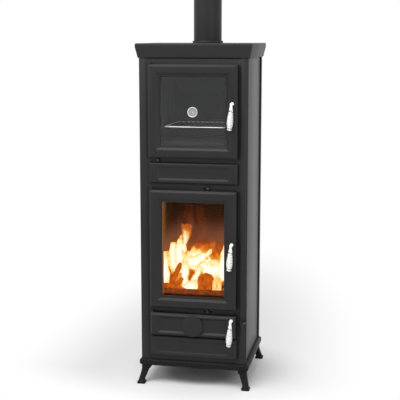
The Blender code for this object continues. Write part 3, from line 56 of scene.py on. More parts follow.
class Signal:
    # one socket of a node tree; sums on it add their own Math nodes
    def __init__(self, tree, socket=None):
        self.tree = tree
        self.socket = socket

    def node(self, kind, settings=None, values=None, output=0):
        made = self.tree.nodes.new("ShaderNode" + kind)
        settings = dict(settings or {})
        stops = settings.pop("stops", None)
        for name, value in settings.items():
            setattr(made, name, value)
        if stops:
            marks = made.color_ramp.elements
            marks[0].position, marks[0].color = stops[0]
            marks[1].position, marks[1].color = stops[-1]
            for place, tint in stops[1:-1]:
                marks.new(place).color = tint
        for key, value in (values or {}).items():
            if isinstance(value, Signal):
                self.tree.links.new(value.socket, made.inputs[key])
            else:
                made.inputs[key].default_value = value
        return Signal(self.tree, made.outputs[output])

    def maths(self, operation, *values):
        return self.node("Math", {"operation": operation}, dict(enumerate(values)))

    def __add__(self, other):
        return self.maths("ADD", self, other)

    def __radd__(self, other):
        return self.maths("ADD", other, self)

    def __sub__(self, other):
        return self.maths("SUBTRACT", self, other)

    def __rsub__(self, other):
        return self.maths("SUBTRACT", other, self)

    def __mul__(self, other):
        return self.maths("MULTIPLY", self, other)

    def __rmul__(self, other):
        return self.maths("MULTIPLY", other, self)

    def __abs__(self):
        return self.maths("ABSOLUTE", self)

    def most(self, other):
        return self.maths("MAXIMUM", self, other)

    def least(self, other):
        return self.maths("MINIMUM", self, other)

    def spread(self, low, high, easing="LINEAR"):
        # 0 at low, 1 at high, held between them
        values = {"Value": self, "From Min": low, "From Max": high}
        return self.node("MapRange", {"interpolation_type": easing}, values)

    def soft(self, low, high):
        # the same with an eased start and end
        return self.spread(low, high, "SMOOTHSTEP")

    def grain(self, scale, detail=2.0, roughness=0.5):
        values = {"Vector": self, "Scale": scale, "Detail": detail, "Roughness": roughness}
        return self.node("TexNoise", {}, values)

    def drawnOut(self, share):
        # heights count for less, so a grain on them runs up and down
        return self.node("Mapping", {}, {"Vector": self, "Scale": (1.0, 1.0, share)})

    def mixed(self, low, high):
        # this value blends between two colours
        return self.node("Mix", {"data_type": "RGBA"}, {0: self, 6: low, 7: high}, 2)

    def ramp(self, stops):
        return self.node("ValToRGB", {"stops": stops}, {0: self})

    def bump(self, depth):
        return self.node("Bump", {}, {"Height": self, "Distance": depth})

    def part(self, axis):
        return self.node("SeparateXYZ", {}, {0: self}, "XYZ".index(axis))


def colour(*levels):
    # one level is a grey, three are red, green and blue
    return (*(levels * 3 if len(levels) == 1 else levels), 1.0)


def newFinish(name, fixed, varying):
    # fixed holds constants by socket name, varying makes signals from the place on the piece
    material = bpy.data.materials.new(name)
    material.use_nodes = True
    tree = material.node_tree
    shader = tree.nodes["Principled BSDF"]
    for socket, value in fixed.items():
        shader.inputs[socket].default_value = value
    place = Signal(tree).node("TexCoord", output="Object")
    for socket, signal in varying(place).items():
        tree.links.new(signal.socket, shader.inputs[socket])
    return material


castPaint = {
    "dark": colour(0.0065),
    "light": colour(0.0105),
    "roughness": 0.40,
    "specular": 0.33,
    "baseSpecular": 0.12,  # base plate and legs, with less shine
    "cloudScale": 7.0,
    "swellScale": 55.0,
    "grainScale": 620.0,
    "grainDepth": 0.00022,
}


def castVarying(place):
    cloud = place.grain(castPaint["cloudScale"], 3.0)
    grain = place.grain(castPaint["grainScale"], 3.0, 0.6)
    swell = place.grain(castPaint["swellScale"], 2.0)
    tone = (cloud * 0.7 + grain * 0.3).spread(0.3, 0.7)
    height = grain + swell * 1.4
    return {
        "Base Color": tone.mixed(castPaint["dark"], castPaint["light"]),
        "Roughness": castPaint["roughness"] + 0.10 * cloud + 0.06 * grain,
        "Normal": height.bump(castPaint["grainDepth"]),
    }


sheetPaint = {
    "dark": colour(0.0085),
    "light": colour(0.0125),
    "roughness": 0.34,
    "specular": 0.26,
    "cloudScale": 4.0,
    "grainScale": 1500.0,
    "grainDepth": 0.00005,
}


def sheetVarying(place):
    cloud = place.grain(sheetPaint["cloudScale"], 2.0)
    grain = place.grain(sheetPaint["grainScale"], 2.0)
    return {
        "Base Color": cloud.spread(0.3, 0.7).mixed(sheetPaint["dark"], sheetPaint["light"]),
        "Roughness": sheetPaint["roughness"] + 0.08 * cloud,
        "Normal": (grain + cloud * 3.0).bump(sheetPaint["grainDepth"]),
    }


mirror = {"Metallic": 1.0, "Roughness": 0.02}
glassLook = {"patches": (5.0, 2.0), "dark": colour(0.90, 0.91, 0.91), "light": colour(0.96, 0.97, 0.97)}
plainFinishes = {
    # patches as (scale, detail) run from the dark to the light colour; roughness is its least and
    # what the patches add; bump is (scale, detail, depth in metres)
    "black_sheet": {
        "name": "blackPaint", "fixed": {"Specular IOR Level": 0.30},
        "patches": (11.0, 3.0), "dark": colour(0.009), "light": colour(0.016),
        "roughness": (0.52, 0.14), "bump": (900.0, 2.0, 0.00008),
    },
    "steel": {
        "name": "darkSteel", "fixed": {"Metallic": 0.6},
        "patches": (60.0, 3.0), "dark": colour(0.030), "light": colour(0.055),
        "roughness": (0.30, 0.16), "bump": (1400.0, 2.0, 0.00004),
    },
    # dark enamel of the oven, a little uneven where it has been baked on
    "oven_lining": {
        "name": "ovenEnamel", "fixed": {"Specular IOR Level": 0.25},
        "patches": (9.0, 2.0), "dark": colour(0.010), "light": colour(0.020),
        "roughness": (0.46, 0.14), "bump": (9.0, 2.0, 0.0003),
    },
    "chrome": {
        "name": "chromePlate", "fixed": {"Metallic": 0.25},
        "patches": (80.0, 2.0), "dark": colour(0.93, 0.93, 0.94), "light": colour(0.98, 0.98, 0.98),
        "roughness": (0.22, 0.08), "bump": (2600.0, 1.0, 0.00001),
    },
    # bright plated wire of the rack, dulled by baking
    "wire": {
        "name": "rackWire", "fixed": {"Metallic": 0.2},
        "patches": (70.0, 3.0), "dark": colour(0.86, 0.85, 0.83), "light": colour(0.98, 0.97, 0.95),
        "roughness": (0.38, 0.16),
    },
    # glass as a faint mirror: the rest of the light goes straight through
    "stove_glass": {**glassLook, "name": "ovenGlass", "fixed": {**mirror, "Alpha": 0.024}},
    "fireGlass": {**glassLook, "name": "fireGlass", "fixed": {**mirror, "Alpha": 0.002}},
    "dial": {
        "name": "dialEnamel", "fixed": {},
        "patches": (120.0, 2.0), "dark": colour(0.25, 0.25, 0.245), "light": colour(0.36, 0.36, 0.355),
        "roughness": (0.38, 0.10),
    },
    "needle": {
        "name": "needlePaint", "fixed": {},
        "patches": (300.0, 2.0), "dark": colour(0.30, 0.02, 0.015), "light": colour(0.42, 0.04, 0.03),
        "roughness": (0.35, 0.10),
    },
    "ink": {
        "name": "dialInk", "fixed": {},
        "patches": (300.0, 2.0), "dark": colour(0.02), "light": colour(0.05),
        "roughness": (0.45, 0.10),
    },
}


def patchy(look):
    # soft patches of tone and gloss, over a fine grain where the look has one
    def varying(place):
        patches = place.grain(*look["patches"])
        signals = {"Base Color": patches.mixed(look["dark"], look["light"])}
        if "roughness" in look:
            lowest, added = look["roughness"]
            signals["Roughness"] = lowest + added * patches
        if "bump" in look:
            scale, detail, depth = look["bump"]
            signals["Normal"] = place.grain(scale, detail).bump(depth)
        return signals

    return varying


fireBoard = {
    "dark": colour(0.012, 0.007, 0.004),
    "light": colour(0.060, 0.038, 0.022),
    "roughness": 0.86,
    "flakeScale": 190.0,
    "cloudScale": 16.0,
    "grainDepth": 0.0009,
}
paintedFirelight = {
    # painted firelight: emission colour of the fire board from the hearth up, as (height share, colour)
    "low": 0.44,
    "high": 0.76,
    "stops": (
        (0.00, colour(0.48, 0.060, 0.002)),
        (0.17, colour(0.50, 0.074, 0.004)),
        (0.26, colour(0.36, 0.068, 0.009)),
        (0.36, colour(0.23, 0.060, 0.018)),
        (0.48, colour(0.150, 0.050, 0.023)),
        (0.58, colour(0.095, 0.030, 0.013)),
        (0.67, colour(0.042, 0.011, 0.003)),
        (0.75, colour(0.018, 0.0042, 0.0006)),
        (0.88, colour(0.008, 0.0018, 0.0)),
    ),
    "streakScale": 70.0,
    "streakReach": 0.05,
    # a painted highlight: the brighter front edge of the left side board
    "edge": colour(0.20, 0.070, 0.012),
    "edgeShare": 0.85,
    "edgeFrom": -0.120,
    "edgeTo": -0.1375,
    "edgeBack": -0.060,
    "edgeFront": -0.150,
    "bedLow": 0.378,
    "bedHigh": 0.392,
}


def brickVarying(place):
    # pressed fire board: flaky grain, sooty, with the fire's light from below painted into its emission
    flakes = {"Vector": place, "Scale": fireBoard["flakeScale"]}
    flake = place.node("TexVoronoi", {"feature": "F1"}, flakes)
    cloud = place.grain(fireBoard["cloudScale"], 4.0)
    streak = place.drawnOut(0.12).grain(paintedFirelight["streakScale"], 2.0)
    height = place.part("Z") + (streak - 0.5) * paintedFirelight["streakReach"]
    # painted firelight: emission rising with height, in streaks
    paintedGlow = height.spread(paintedFirelight["low"], paintedFirelight["high"]).ramp(paintedFirelight["stops"])
    edge = place.part("X").soft(paintedFirelight["edgeFrom"], paintedFirelight["edgeTo"])
    edge = edge * place.part("Y").soft(paintedFirelight["edgeBack"], paintedFirelight["edgeFront"])
    paintedEdge = (edge * paintedFirelight["edgeShare"]).mixed(paintedGlow, paintedFirelight["edge"])
    # no painted firelight below the bed of embers, where the hearth meets the door
    above = place.part("Z").soft(paintedFirelight["bedLow"], paintedFirelight["bedHigh"])
    return {
        "Base Color": (cloud * 0.7 + flake * 0.5).mixed(fireBoard["dark"], fireBoard["light"]),
        "Roughness": fireBoard["roughness"] + 0.10 * cloud,
        "Emission Color": above.mixed(colour(0.0), paintedEdge),
        "Normal": (flake * 0.6 + cloud).bump(fireBoard["grainDepth"]),
    }


guardIron = {
    "dark": colour(0.010, 0.006, 0.004),
    "light": colour(0.030, 0.018, 0.011),
    "unlit": colour(0.010, 0.003, 0.001),
    # painted firelight along the guard's top, as emission
    "paintedLit": colour(0.33, 0.060, 0.003),
    "litFrom": 0.388,
    "litTo": 0.400,
    "roughness": 0.75,
    "cloudScale": 60.0,
    "grainDepth": 0.001,
}


def guardVarying(place):
    # the guard in front of the logs, dark iron with the firelight on its top painted in as emission
    cloud = place.grain(guardIron["cloudScale"], 4.0, 0.6)
    paintedLit = place.part("Z").soft(guardIron["litFrom"], guardIron["litTo"]) * cloud.spread(0.2, 0.7)
    return {
        "Base Color": cloud.mixed(guardIron["dark"], guardIron["light"]),
        "Roughness": guardIron["roughness"] + 0.15 * cloud,
        "Emission Color": paintedLit.mixed(guardIron["unlit"], guardIron["paintedLit"]),
        "Normal": cloud.bump(guardIron["grainDepth"]),
    }


glassRope = {
    "dark": colour(0.012),
    "light": colour(0.055),
    "roughness": 0.85,
    "strandScale": 130.0,
    "strandWander": 1.2,
    "fuzzScale": 1800.0,
    "strandDepth": 0.0004,
}


def ropeVarying(place):
    # twisted glass rope: slanted strands on every side of it
    bands = {"wave_type": "BANDS", "bands_direction": "DIAGONAL"}
    strands = {
        "Vector": place, "Scale": glassRope["strandScale"], "Distortion": glassRope["strandWander"],
    }
    strand = place.node("TexWave", bands, strands, 1)
    fuzz = place.grain(glassRope["fuzzScale"], 2.0)
    tone = (strand * 0.7 + 0.3 * fuzz).spread(0.1, 1.0)
    return {
        "Base Color": tone.mixed(glassRope["dark"], glassRope["light"]),
        "Roughness": glassRope["roughness"] + 0.1 * fuzz,
        "Normal": (strand * 0.6 + fuzz).bump(glassRope["strandDepth"]),
    }


bakingStone = {
    "dark": colour(0.006),
    "light": colour(0.018, 0.017, 0.016),
    "roughness": 0.80,
    "speckScale": 340.0,
    "cloudScale": 18.0,
    "speckDepth": 0.0004,
}


def stoneVarying(place):
    speck = place.grain(bakingStone["speckScale"], 3.0, 0.7)
    cloud = place.grain(bakingStone["cloudScale"], 3.0)
    return {
        "Base Color": (speck * 0.6 + cloud * 0.4).mixed(bakingStone["dark"], bakingStone["light"]),
        "Roughness": bakingStone["roughness"] + 0.12 * speck,
        "Normal": speck.bump(bakingStone["speckDepth"]),
    }


bark = {
    "dark": colour(0.030, 0.008, 0.002),
    "light": colour(0.12, 0.035, 0.008),
    "cool": colour(0.20, 0.030, 0.001),
    "hot": colour(0.66, 0.120, 0.004),
    "heat": (0.34, 0.62),
    "roughness": 0.85,
    "ridgeScale": 125.0,
    "patchScale": 42.0,
    "ridgeDepth": 0.0025,
}


def barkVarying(place):
    # burning wood: charred ridges with glowing orange between them
    drawn = place.drawnOut(0.45)
    ridge = drawn.grain(bark["ridgeScale"], 5.0, 0.65)
    patch = place.grain(bark["patchScale"], 2.0)
    heat = (1.0 - ridge * 0.7 - patch * 0.3).soft(*bark["heat"])
    return {
        "Base Color": ridge.mixed(bark["dark"], bark["light"]),
        "Roughness": bark["roughness"] + 0.1 * ridge,
        "Emission Color": heat.mixed(bark["cool"], bark["hot"]),
        "Normal": ridge.bump(bark["ridgeDepth"]),
    }


hotWood = {
    "dark": colour(0.10, 0.030, 0.006),
    "light": colour(0.30, 0.14, 0.03),
    "cracks": colour(0.90, 0.36, 0.030),
    "faces": colour(0.98, 0.78, 0.33),
    "heat": (0.36, 0.62),
    "roughness": 0.9,
    "crackScale": 110.0,
    "crackDepth": 0.0015,
}


def hotWoodVarying(place):
    # wood burning through, pale yellow with fine orange cracks
    crack = place.drawnOut(0.30).grain(hotWood["crackScale"], 4.0, 0.6)
    return {
        "Base Color": crack.mixed(hotWood["dark"], hotWood["light"]),
        "Roughness": hotWood["roughness"] + 0.05 * crack,
        "Emission Color": crack.soft(*hotWood["heat"]).mixed(hotWood["cracks"], hotWood["faces"]),
        "Normal": crack.bump(hotWood["crackDepth"]),
    }


ember = {
    "dark": colour(0.012),
    "light": colour(0.09, 0.06, 0.05),
    "cool": colour(0.12, 0.018, 0.0),
    "hot": colour(1.0, 0.24, 0.02),
    "heat": (0.35, 0.65),
    "roughness": 0.85,
    "lumpScale": 120.0,
    "lumpDepth": 0.0015,
}


def emberVarying(place):
    lump = place.grain(ember["lumpScale"], 4.0, 0.6)
    heat = (1.0 - lump).soft(*ember["heat"])
    return {
        "Base Color": lump.mixed(ember["dark"], ember["light"]),
        "Roughness": ember["roughness"] + 0.1 * lump,
        "Emission Color": heat.mixed(ember["cool"], ember["hot"]),
        "Normal": lump.bump(ember["lumpDepth"]),
    }


flame = {
    "drawnOut": 0.45,
    "curlScale": 34.0,
    "curlReach": 0.55,
    "lickScale": 78.0,
    "patchScale": 46.0,
    "patchFrom": 0.52,
    "patchTo": 0.70,
    "patchCooling": 0.26,
    "tipTaper": 3.0,
    "rootTaper": 9.0,
    "endFade": 0.04,
    "edgeFade": 0.34,
}


def flameVarying(stops, opacity, ragged, cooling, thin):
    # torn outlines across the sheet, cooler and more broken towards its tip
    def varying(place):
        surface = place.node("TexCoord", output="UV")
        across, along = surface.part("X"), surface.part("Y")
        drawn = place.drawnOut(flame["drawnOut"])
        curl = drawn.grain(flame["curlScale"], 2.0)
        lick = drawn.grain(flame["lickScale"], 5.0, 0.62)
        side = 1.0 - abs((across + (curl - 0.5) * flame["curlReach"]) * 2.0 - 1.0)
        inside = side.least((1.0 - along) * flame["tipTaper"]).least(along * flame["rootTaper"])
        body = inside + (lick - 0.5) * ragged - thin
        ends = (1.0 - along).soft(0.0, flame["endFade"]) * along.soft(0.0, flame["endFade"])
        patch = drawn.grain(flame["patchScale"], 3.0).soft(flame["patchFrom"], flame["patchTo"])
        heat = body * (1.0 - cooling * along) - cooling * 0.25 * along
        return {
            "Emission Color": (heat - patch * flame["patchCooling"]).ramp(stops),
            "Alpha": body.soft(0.0, flame["edgeFade"]) * ends * opacity,
        }

    return varying


hotStops = (
    (0.00, colour(0.92, 0.27, 0.015)),
    (0.09, colour(1.0, 0.50, 0.09)),
    (0.24, colour(1.0, 0.72, 0.26)),
    (0.44, colour(1.0, 0.86, 0.50)),
    (0.72, colour(1.0, 0.97, 0.82)),
)
tallStops = (
    (0.00, colour(0.52, 0.11, 0.012)),
    (0.14, colour(0.85, 0.30, 0.045)),
    (0.30, colour(1.0, 0.66, 0.24)),
    (0.50, colour(1.0, 0.93, 0.66)),
)
orangeStops = (
    (0.05, colour(0.42, 0.050, 0.001)),
    (0.40, colour(0.90, 0.20, 0.010)),
    (0.80, colour(1.0, 0.52, 0.08)),
)
wispStops = (
    (0.05, colour(0.12, 0.016, 0.003)),
    (0.60, colour(0.40, 0.070, 0.016)),
)
flameKinds = {
    # name: (emission strength, colour stops, opacity, raggedness, cooling, thinning)
    "flameHot": (1.10, hotStops, 1.0, 1.3, 0.10, 0.0),
    "flameTall": (1.0, tallStops, 0.95, 0.8, 0.75, 0.0),
    "flameOrange": (0.90, orangeStops, 0.66, 1.6, 0.30, 0.05),
    "flameWisp": (0.60, wispStops, 0.32, 1.8, 0.30, 0.10),
}
flameFixed = {"Base Color": colour(0.0), "Specular IOR Level": 0.0, "Roughness": 1.0}
dullFinishes = {
    # name, specular level, what varies
    "cast": ("castPaint", castPaint["specular"], castVarying),
    "baseCast": ("basePaint", castPaint["baseSpecular"], castVarying),
    "side_sheet": ("sidePaint", sheetPaint["specular"], sheetVarying),
    "rope": ("glassRope", 0.2, ropeVarying),
    "stone": ("ovenStone", 0.25, stoneVarying),
}
glowingFinishes = {
    # name, emission strength, specular level, what varies
    "refractory": ("fireBoard", 1.0, 0.0, brickVarying),
    "guard": ("guardIron", 1.0, 0.0, guardVarying),
    "bark": ("burningWood", 1.0, 0.0, barkVarying),
    "ember": ("ember", 1.2, 0.1, emberVarying),
    "hotWood": ("hotWood", 1.0, 0.1, hotWoodVarying),
}

finish = {}
for kind, look in plainFinishes.items():
    finish[kind] = newFinish(look["name"], look["fixed"], patchy(look))
for kind, (name, specular, varying) in dullFinishes.items():
    finish[kind] = newFinish(name, {"Specular IOR Level": specular}, varying)
for kind, (name, strength, specular, varying) in glowingFinishes.items():
    fixed = {"Emission Strength": strength, "Specular IOR Level": specular}
    finish[kind] = newFinish(name, fixed, varying)
for kind, (strength, *shape) in flameKinds.items():
    fixed = {**flameFixed, "Emission Strength": strength}
    finish[kind] = newFinish(kind + "Glow", fixed, flameVarying(*shape))
for kind in (*flameKinds, *glowingFinishes):
    finish[kind].cycles.emission_sampling = "NONE"
print("finishes made")


def inScene(name, data):
    # a new object of the scene, with the mesh, curve, lamp or camera that it holds
    held = bpy.data.objects.new(name, data)
    bpy.context.scene.collection.objects.link(held)
    return held


def addPiece(name, bm, kind, body, replaced=(), smoothAngle=38.0):
    mesh = bpy.data.meshes.new(name)
    bm.to_mesh(mesh)
    bm.free()
    mesh.materials.append(finish[kind])
    mesh.shade_smooth()
    mesh.set_sharp_from_angle(angle=math.radians(smoothAngle))
    piece = inScene(name, mesh)
    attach(piece, body)
    if replaced:
        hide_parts(*replaced)


def mergedCopy(node):
    # the node's mesh as one skin, with its flat areas as single faces
    bm = bmesh.new()
    bm.from_mesh(frame["nodes"][node].data)
    bmesh.ops.remove_doubles(bm, verts=bm.verts, dist=0.00001)
    bmesh.ops.dissolve_limit(
        bm, angle_limit=math.radians(0.6), verts=bm.verts, edges=bm.edges, use_dissolve_boundaries=False
    )
    return bm


def soften(bm, width, angle=28.0):
    # bevels the edges where two faces meet at more than the angle
    edges = []
    for edge in bm.edges:
        if len(edge.link_faces) == 2 and edge.calc_face_angle(0.0) > math.radians(angle):
            edges.append(edge)
    bmesh.ops.bevel(
        bm, geom=edges, offset=width, affect="EDGES", segments=2, profile=0.5, material=-1,
        clamp_overlap=True,
    )


def dress(node, width, kind=None, angle=28.0):
    # the node's own shape with eased edges
    bm = mergedCopy(node)
    if width:
        soften(bm, width, angle)
    slot = slotOf[node]
    addPiece(node + "_dressed", bm, kind or slot, bodyOf[node], (node,))


def turned(bm, profile, matrix, steps):
    # profile points are (radius, height), turned round the matrix's Z; the tag marks what was
    # turned into the same mesh before
    verts = [bm.verts.new((radius, 0, height)) for radius, height in profile]
    edges = [bm.edges.new(pair) for pair in zip(verts, verts[1:])]
    bmesh.ops.spin(
        bm, geom=verts + edges, cent=(0, 0, 0), axis=(0, 0, 1), angle=math.tau, steps=steps, use_merge=True
    )
    fresh = [v for v in bm.verts if not v.tag]
    bmesh.ops.remove_doubles(bm, verts=fresh, dist=0.000005)
    fresh = [v for v in bm.verts if not v.tag]
    faces = [face for face in bm.faces if not face.verts[0].tag]
    bmesh.ops.recalc_face_normals(bm, faces=faces)
    bmesh.ops.transform(bm, matrix=matrix, verts=fresh)
    for v in fresh:
        v.tag = True


def disc(radius, low, high):
    # profile of a plain round plate or rod
    return ((0.0, low), (radius, low), (radius, high), (0.0, high))


def aimed(place, direction):
    # a matrix whose Z points along the direction from the place
    turn = Vector(direction).to_track_quat("Z", "Y").to_matrix().to_4x4()
    return Matrix.Translation(place) @ turn


def ringPath(low, high, inset, corner, up, level, stepsPerCorner=6):
    # a closed rounded rectangle over X and the up axis, at a level on the third axis
    left, right = low.x + inset + corner, high.x - inset - corner
    bottom, top = low[up] + inset + corner, high[up] - inset - corner
    path = []
    for x, rise, start in ((right, top, 0), (left, top, 90), (left, bottom, 180), (right, bottom, 270)):
        for i in range(stepsPerCorner + 1):
            angle = math.radians(start + 90 * i / stepsPerCorner)
            point = Vector((x + corner * math.cos(angle), level, level))
            point[up] = rise + corner * math.sin(angle)
            path.append(point)
    return path


def wire(name, points, radius, kind, body, replaced=(), closed=False):
    # a round rod or wire along the points, made a mesh
    curve = bpy.data.curves.new(name, "CURVE")
    curve.dimensions = "3D"
    curve.bevel_depth = radius
    curve.bevel_resolution = 3
    curve.use_fill_caps = not closed
    curve.resolution_u = 1
    spline = curve.splines.new("POLY")
    spline.points.add(len(points) - 1)
    spline.use_cyclic_u = closed
    for target, point in zip(spline.points, points):
        target.co = (*point, 1)
    carrier = inScene(name, curve)
    depsgraph = bpy.context.evaluated_depsgraph_get()
    mesh = bpy.data.meshes.new_from_object(carrier.evaluated_get(depsgraph))
    bpy.data.objects.remove(carrier)
    bm = bmesh.new()
    bm.from_mesh(mesh)
    bpy.data.meshes.remove(mesh)
    bmesh.ops.remove_doubles(bm, verts=bm.verts, dist=0.000005)
    bmesh.ops.recalc_face_normals(bm, faces=bm.faces)
    addPiece(name, bm, kind, body, replaced, 60.0)


view = {
    "place": (0.790, -3.9956, 1.4607),
    "turn": (80.353, 0.0, 11.297),
    "lens": 86.52,
    "sensor": 36.0,
    "clip": 60.0,
}
lens = bpy.data.cameras.new("camera")
lens.lens = view["lens"]
lens.sensor_width = view["sensor"]
lens.clip_end = view["clip"]
cameraObject = inScene("camera", lens)
cameraObject.location = view["place"]
cameraObject.rotation_euler = [math.radians(angle) for angle in view["turn"]]
bpy.context.scene.camera = cameraObject
bpy.context.scene.view_settings.view_transform = "Standard"

studio = {
    "floorTone": 0.95,
    "floorReach": 14.0,
    "whiteFrom": 0.20,
    "whiteTo": 0.52,
    # a painted grey shadow round the stove, in the emission of the white sweep
    "paintedShadowTone": 0.75,
    "paintedShadowFrom": 0.25,
    "paintedShadowTo": 0.82,
    "paintedShadowShift": 0.09,
    "paintedShadowBehind": 0.3,
    "paintedShadowAhead": 2.0,
    # painted shade: the floor's colour darker right under the stove
    "paintedShadeWithin": 0.12,
    "paintedShadeShare": 0.55,
    "ambient": 0.58,
    "lamps": (
        # name, place, aimed at, size, watts
        ("overheadLamp", (-0.6, -1.6, 3.4), (0.0, 0.0, 0.6), 2.6, 72.0),
        ("leftLamp", (-3.2, -2.6, 2.4), (0.0, 0.0, 0.8), 1.8, 12.0),
        ("rightLamp", (2.7, -2.8, 1.2), (0.0, 0.0, 0.8), 1.6, 18.0),
    ),
}
fire = {"place": (-0.02, -0.06, 0.52), "watts": 0.9, "tint": (1.0, 0.42, 0.12), "size": 0.05}


def plainRays(signal):
    # 1 for what the camera sees, also mirrored or through glass, and 0 for light on other pieces
    seen = signal.node("LightPath", output="Is Camera Ray")
    mirrored = signal.node("LightPath", output="Is Glossy Ray")
    through = signal.node("LightPath", output="Is Transmission Ray")
    return seen.most(mirrored).most(through)


def floorVarying(place):
    # white sweep: takes the real shadow near the stove, with painted shade under it and a painted grey
    # shadow round it, pure white further off
    cloud = place.grain(1.3, 2.0)
    reach = place.node("VectorMath", {"operation": "LENGTH"}, {0: place}, "Value")
    white = reach.soft(studio["whiteFrom"], studio["whiteTo"]) * plainRays(place)
    near = reach.soft(studio["paintedShadeWithin"], studio["whiteFrom"])
    # a painted grey shadow round the stove, fading to white, drawn out behind it and short in front of it
    side = place.part("X") + studio["paintedShadowShift"]
    depth = place.part("Y")
    depth = depth.most(0.0) * studio["paintedShadowBehind"] + (depth * -1.0).most(0.0) * studio["paintedShadowAhead"]
    paintedShadowFade = place.maths("SQRT", side * side + depth * depth).soft(studio["paintedShadowFrom"], studio["paintedShadowTo"])
    backdropWithPaintedShadow = paintedShadowFade.mixed(colour(studio["paintedShadowTone"]), colour(1.0))
    # painted shade: the floor's own colour darker right under the stove
    paintedShade = colour(studio["floorTone"] * studio["paintedShadeShare"])
    base = (near * 0.96 + cloud * 0.04).mixed(paintedShade, colour(studio["floorTone"]))
    return {"Base Color": white.mixed(base, colour(0.0)), "Emission Color": white.mixed(colour(0.0), backdropWithPaintedShadow)}


floorBm = bmesh.new()
bmesh.ops.create_grid(floorBm, x_segments=8, y_segments=8, size=studio["floorReach"])
floorMesh = bpy.data.meshes.new("floor")
floorBm.to_mesh(floorMesh)
floorBm.free()
floorFixed = {"Roughness": 0.9, "Specular IOR Level": 0.0, "Emission Strength": 1.0}
floorMesh.materials.append(newFinish("paleFloor", floorFixed, floorVarying))
floor = inScene("floor", floorMesh)

world = bpy.data.worlds.new("studio")
world.use_nodes = True
bpy.context.scene.world = world
strength = plainRays(Signal(world.node_tree)) * (1.0 - studio["ambient"]) + studio["ambient"]
background = world.node_tree.nodes["Background"]
background.inputs["Color"].default_value = colour(1.0)
world.node_tree.links.new(strength.socket, background.inputs["Strength"])

for lampName, place, target, size, watts in studio["lamps"]:
    lamp = bpy.data.lights.new(lampName, "AREA")
    lamp.shape = "DISK"
    lamp.size = size
    lamp.energy = watts
    inScene(lampName, lamp).matrix_world = aimed(place, Vector(place) - Vector(target))

fireLamp = bpy.data.lights.new("fireLamp", "POINT")
fireLamp.energy = fire["watts"]
fireLamp.color = fire["tint"]
fireLamp.shadow_soft_size = fire["size"]
fireObject = inScene("fireLamp", fireLamp)
fireObject.location = fire["place"]
fireObject.visible_camera = False
fireObject.visible_glossy = False
print("camera, floor and light set")

easing = {  # eased edges of the nodes that keep their own shape, in metres
    "base_plate": 0.0012,
    "top_casting": 0.0012,
    "front_frame": 0.0008,
    "middle_panel": 0.0032,
    "lower_panel": 0.0026,
    "side_panel_left": 0.0006,
    "side_panel_right": 0.0006,
    "rear_panel": 0.0006,
    "oven_door_frame": 0.0009,
    "fire_door_frame": 0.0009,
    "ash_door_frame": 0.0009,
    "inner_shell": 0.0,
    "oven_box": 0.0,
    "firebox_ceiling": 0.0006,
    "baffle_plate": 0.0015,
    "firebrick_back": 0.0020,
    "firebrick_left": 0.0020,
    "firebrick_right": 0.0020,
    "hearth_block": 0.0015,
    "grate": 0.0006,
    "log_guard": 0.0015,
    "oven_door_glass": 0.0005,
    "fire_door_glass": 0.0005,
    "oven_glass_retainer": 0.0004,
    "fire_glass_retainer": 0.0004,
    "ash_pan": 0.0,
    "oven_keeper": 0.0003,
    "fire_keeper": 0.0003,
    "ash_keeper": 0.0003,
    "secondary_air_slide": 0.0003,
    "primary_air_slide": 0.0003,
    "damper_rod": 0.0003,
    "air_regulator": 0.0003,
    "oven_stone": 0.0015,
}
ownFinish = {
    "base_plate": "baseCast",
    "rear_panel": "side_sheet",
    "log_guard": "guard",
    "fire_door_glass": "fireGlass",
    "oven_stone": "stone",
}
roundEasing = {  # round nodes, eased only where their faces meet at more than the angle
    "leg": {"width": 0.0008, "angle": 50.0},
    "latch": {"width": 0.0003, "angle": 45.0},
    "pin": {"width": 0.0004, "angle": 45.0},
}
for node, width in easing.items():
    dress(node, width, ownFinish.get(node))
for corner in ("front_left", "front_right", "rear_left", "rear_right"):
    dress("leg_" + corner, kind="baseCast", **roundEasing["leg"])
for door in ("oven", "fire", "ash"):
    dress(door + "_latch", kind="chrome", **roundEasing["latch"])
    for end in ("top", "bottom"):
        dress(door + "_pin_" + end, **roundEasing["pin"])
print("castings and sheets dressed")

flue = {"y": 0.1309, "radius": 0.060, "wall": 0.002, "chamfer": 0.0006, "sides": 96}
collar = {
    "bore": 0.0560,
    "spigot": 0.0590,  # the part that goes down into the top
    "socket": 0.0604,  # the part that takes the pipe
    "outer": 0.0660,
    "underside": 1.4343,
    "socketFloor": 1.4354,
    "lowerEdge": 0.0008,
    "crown": ((0.0, 0.0022), (0.0008, 0.0007), (0.0024, 0.0)),  # in from the outside, down from the top
}
flueAxis = Matrix.Translation((0, flue["y"], 0))
pipeLow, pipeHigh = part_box("flue_pipe")
pipeProfile = (
    (flue["radius"] - flue["wall"], pipeLow.z),
    (flue["radius"], pipeLow.z),
    (flue["radius"], pipeHigh.z - flue["chamfer"]),
    (flue["radius"] - flue["chamfer"], pipeHigh.z),
    (flue["radius"] - flue["wall"], pipeHigh.z),
    (flue["radius"] - flue["wall"], pipeLow.z),
)
bm = bmesh.new()
turned(bm, pipeProfile, flueAxis, flue["sides"])
addPiece("fluePipe", bm, "cast", "root", ("flue_pipe",))

collarLow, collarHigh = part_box("flue_collar")
collarProfile = (
    (collar["bore"], collarLow.z),
    (collar["spigot"], collarLow.z),
    (collar["spigot"], collar["underside"]),
    (collar["outer"] - collar["lowerEdge"], collar["underside"]),
    (collar["outer"], collar["underside"] + collar["lowerEdge"]),
    *((collar["outer"] - inset, collarHigh.z - drop) for inset, drop in collar["crown"]),
    (collar["socket"], collarHigh.z),
    (collar["socket"], collar["socketFloor"]),
    (collar["bore"], collar["socketFloor"]),
    (collar["bore"], collarLow.z),
)
bm = bmesh.new()
turned(bm, collarProfile, flueAxis, flue["sides"])
addPiece("flueCollar", bm, "cast", "root", ("flue_collar",))
print("flue made")

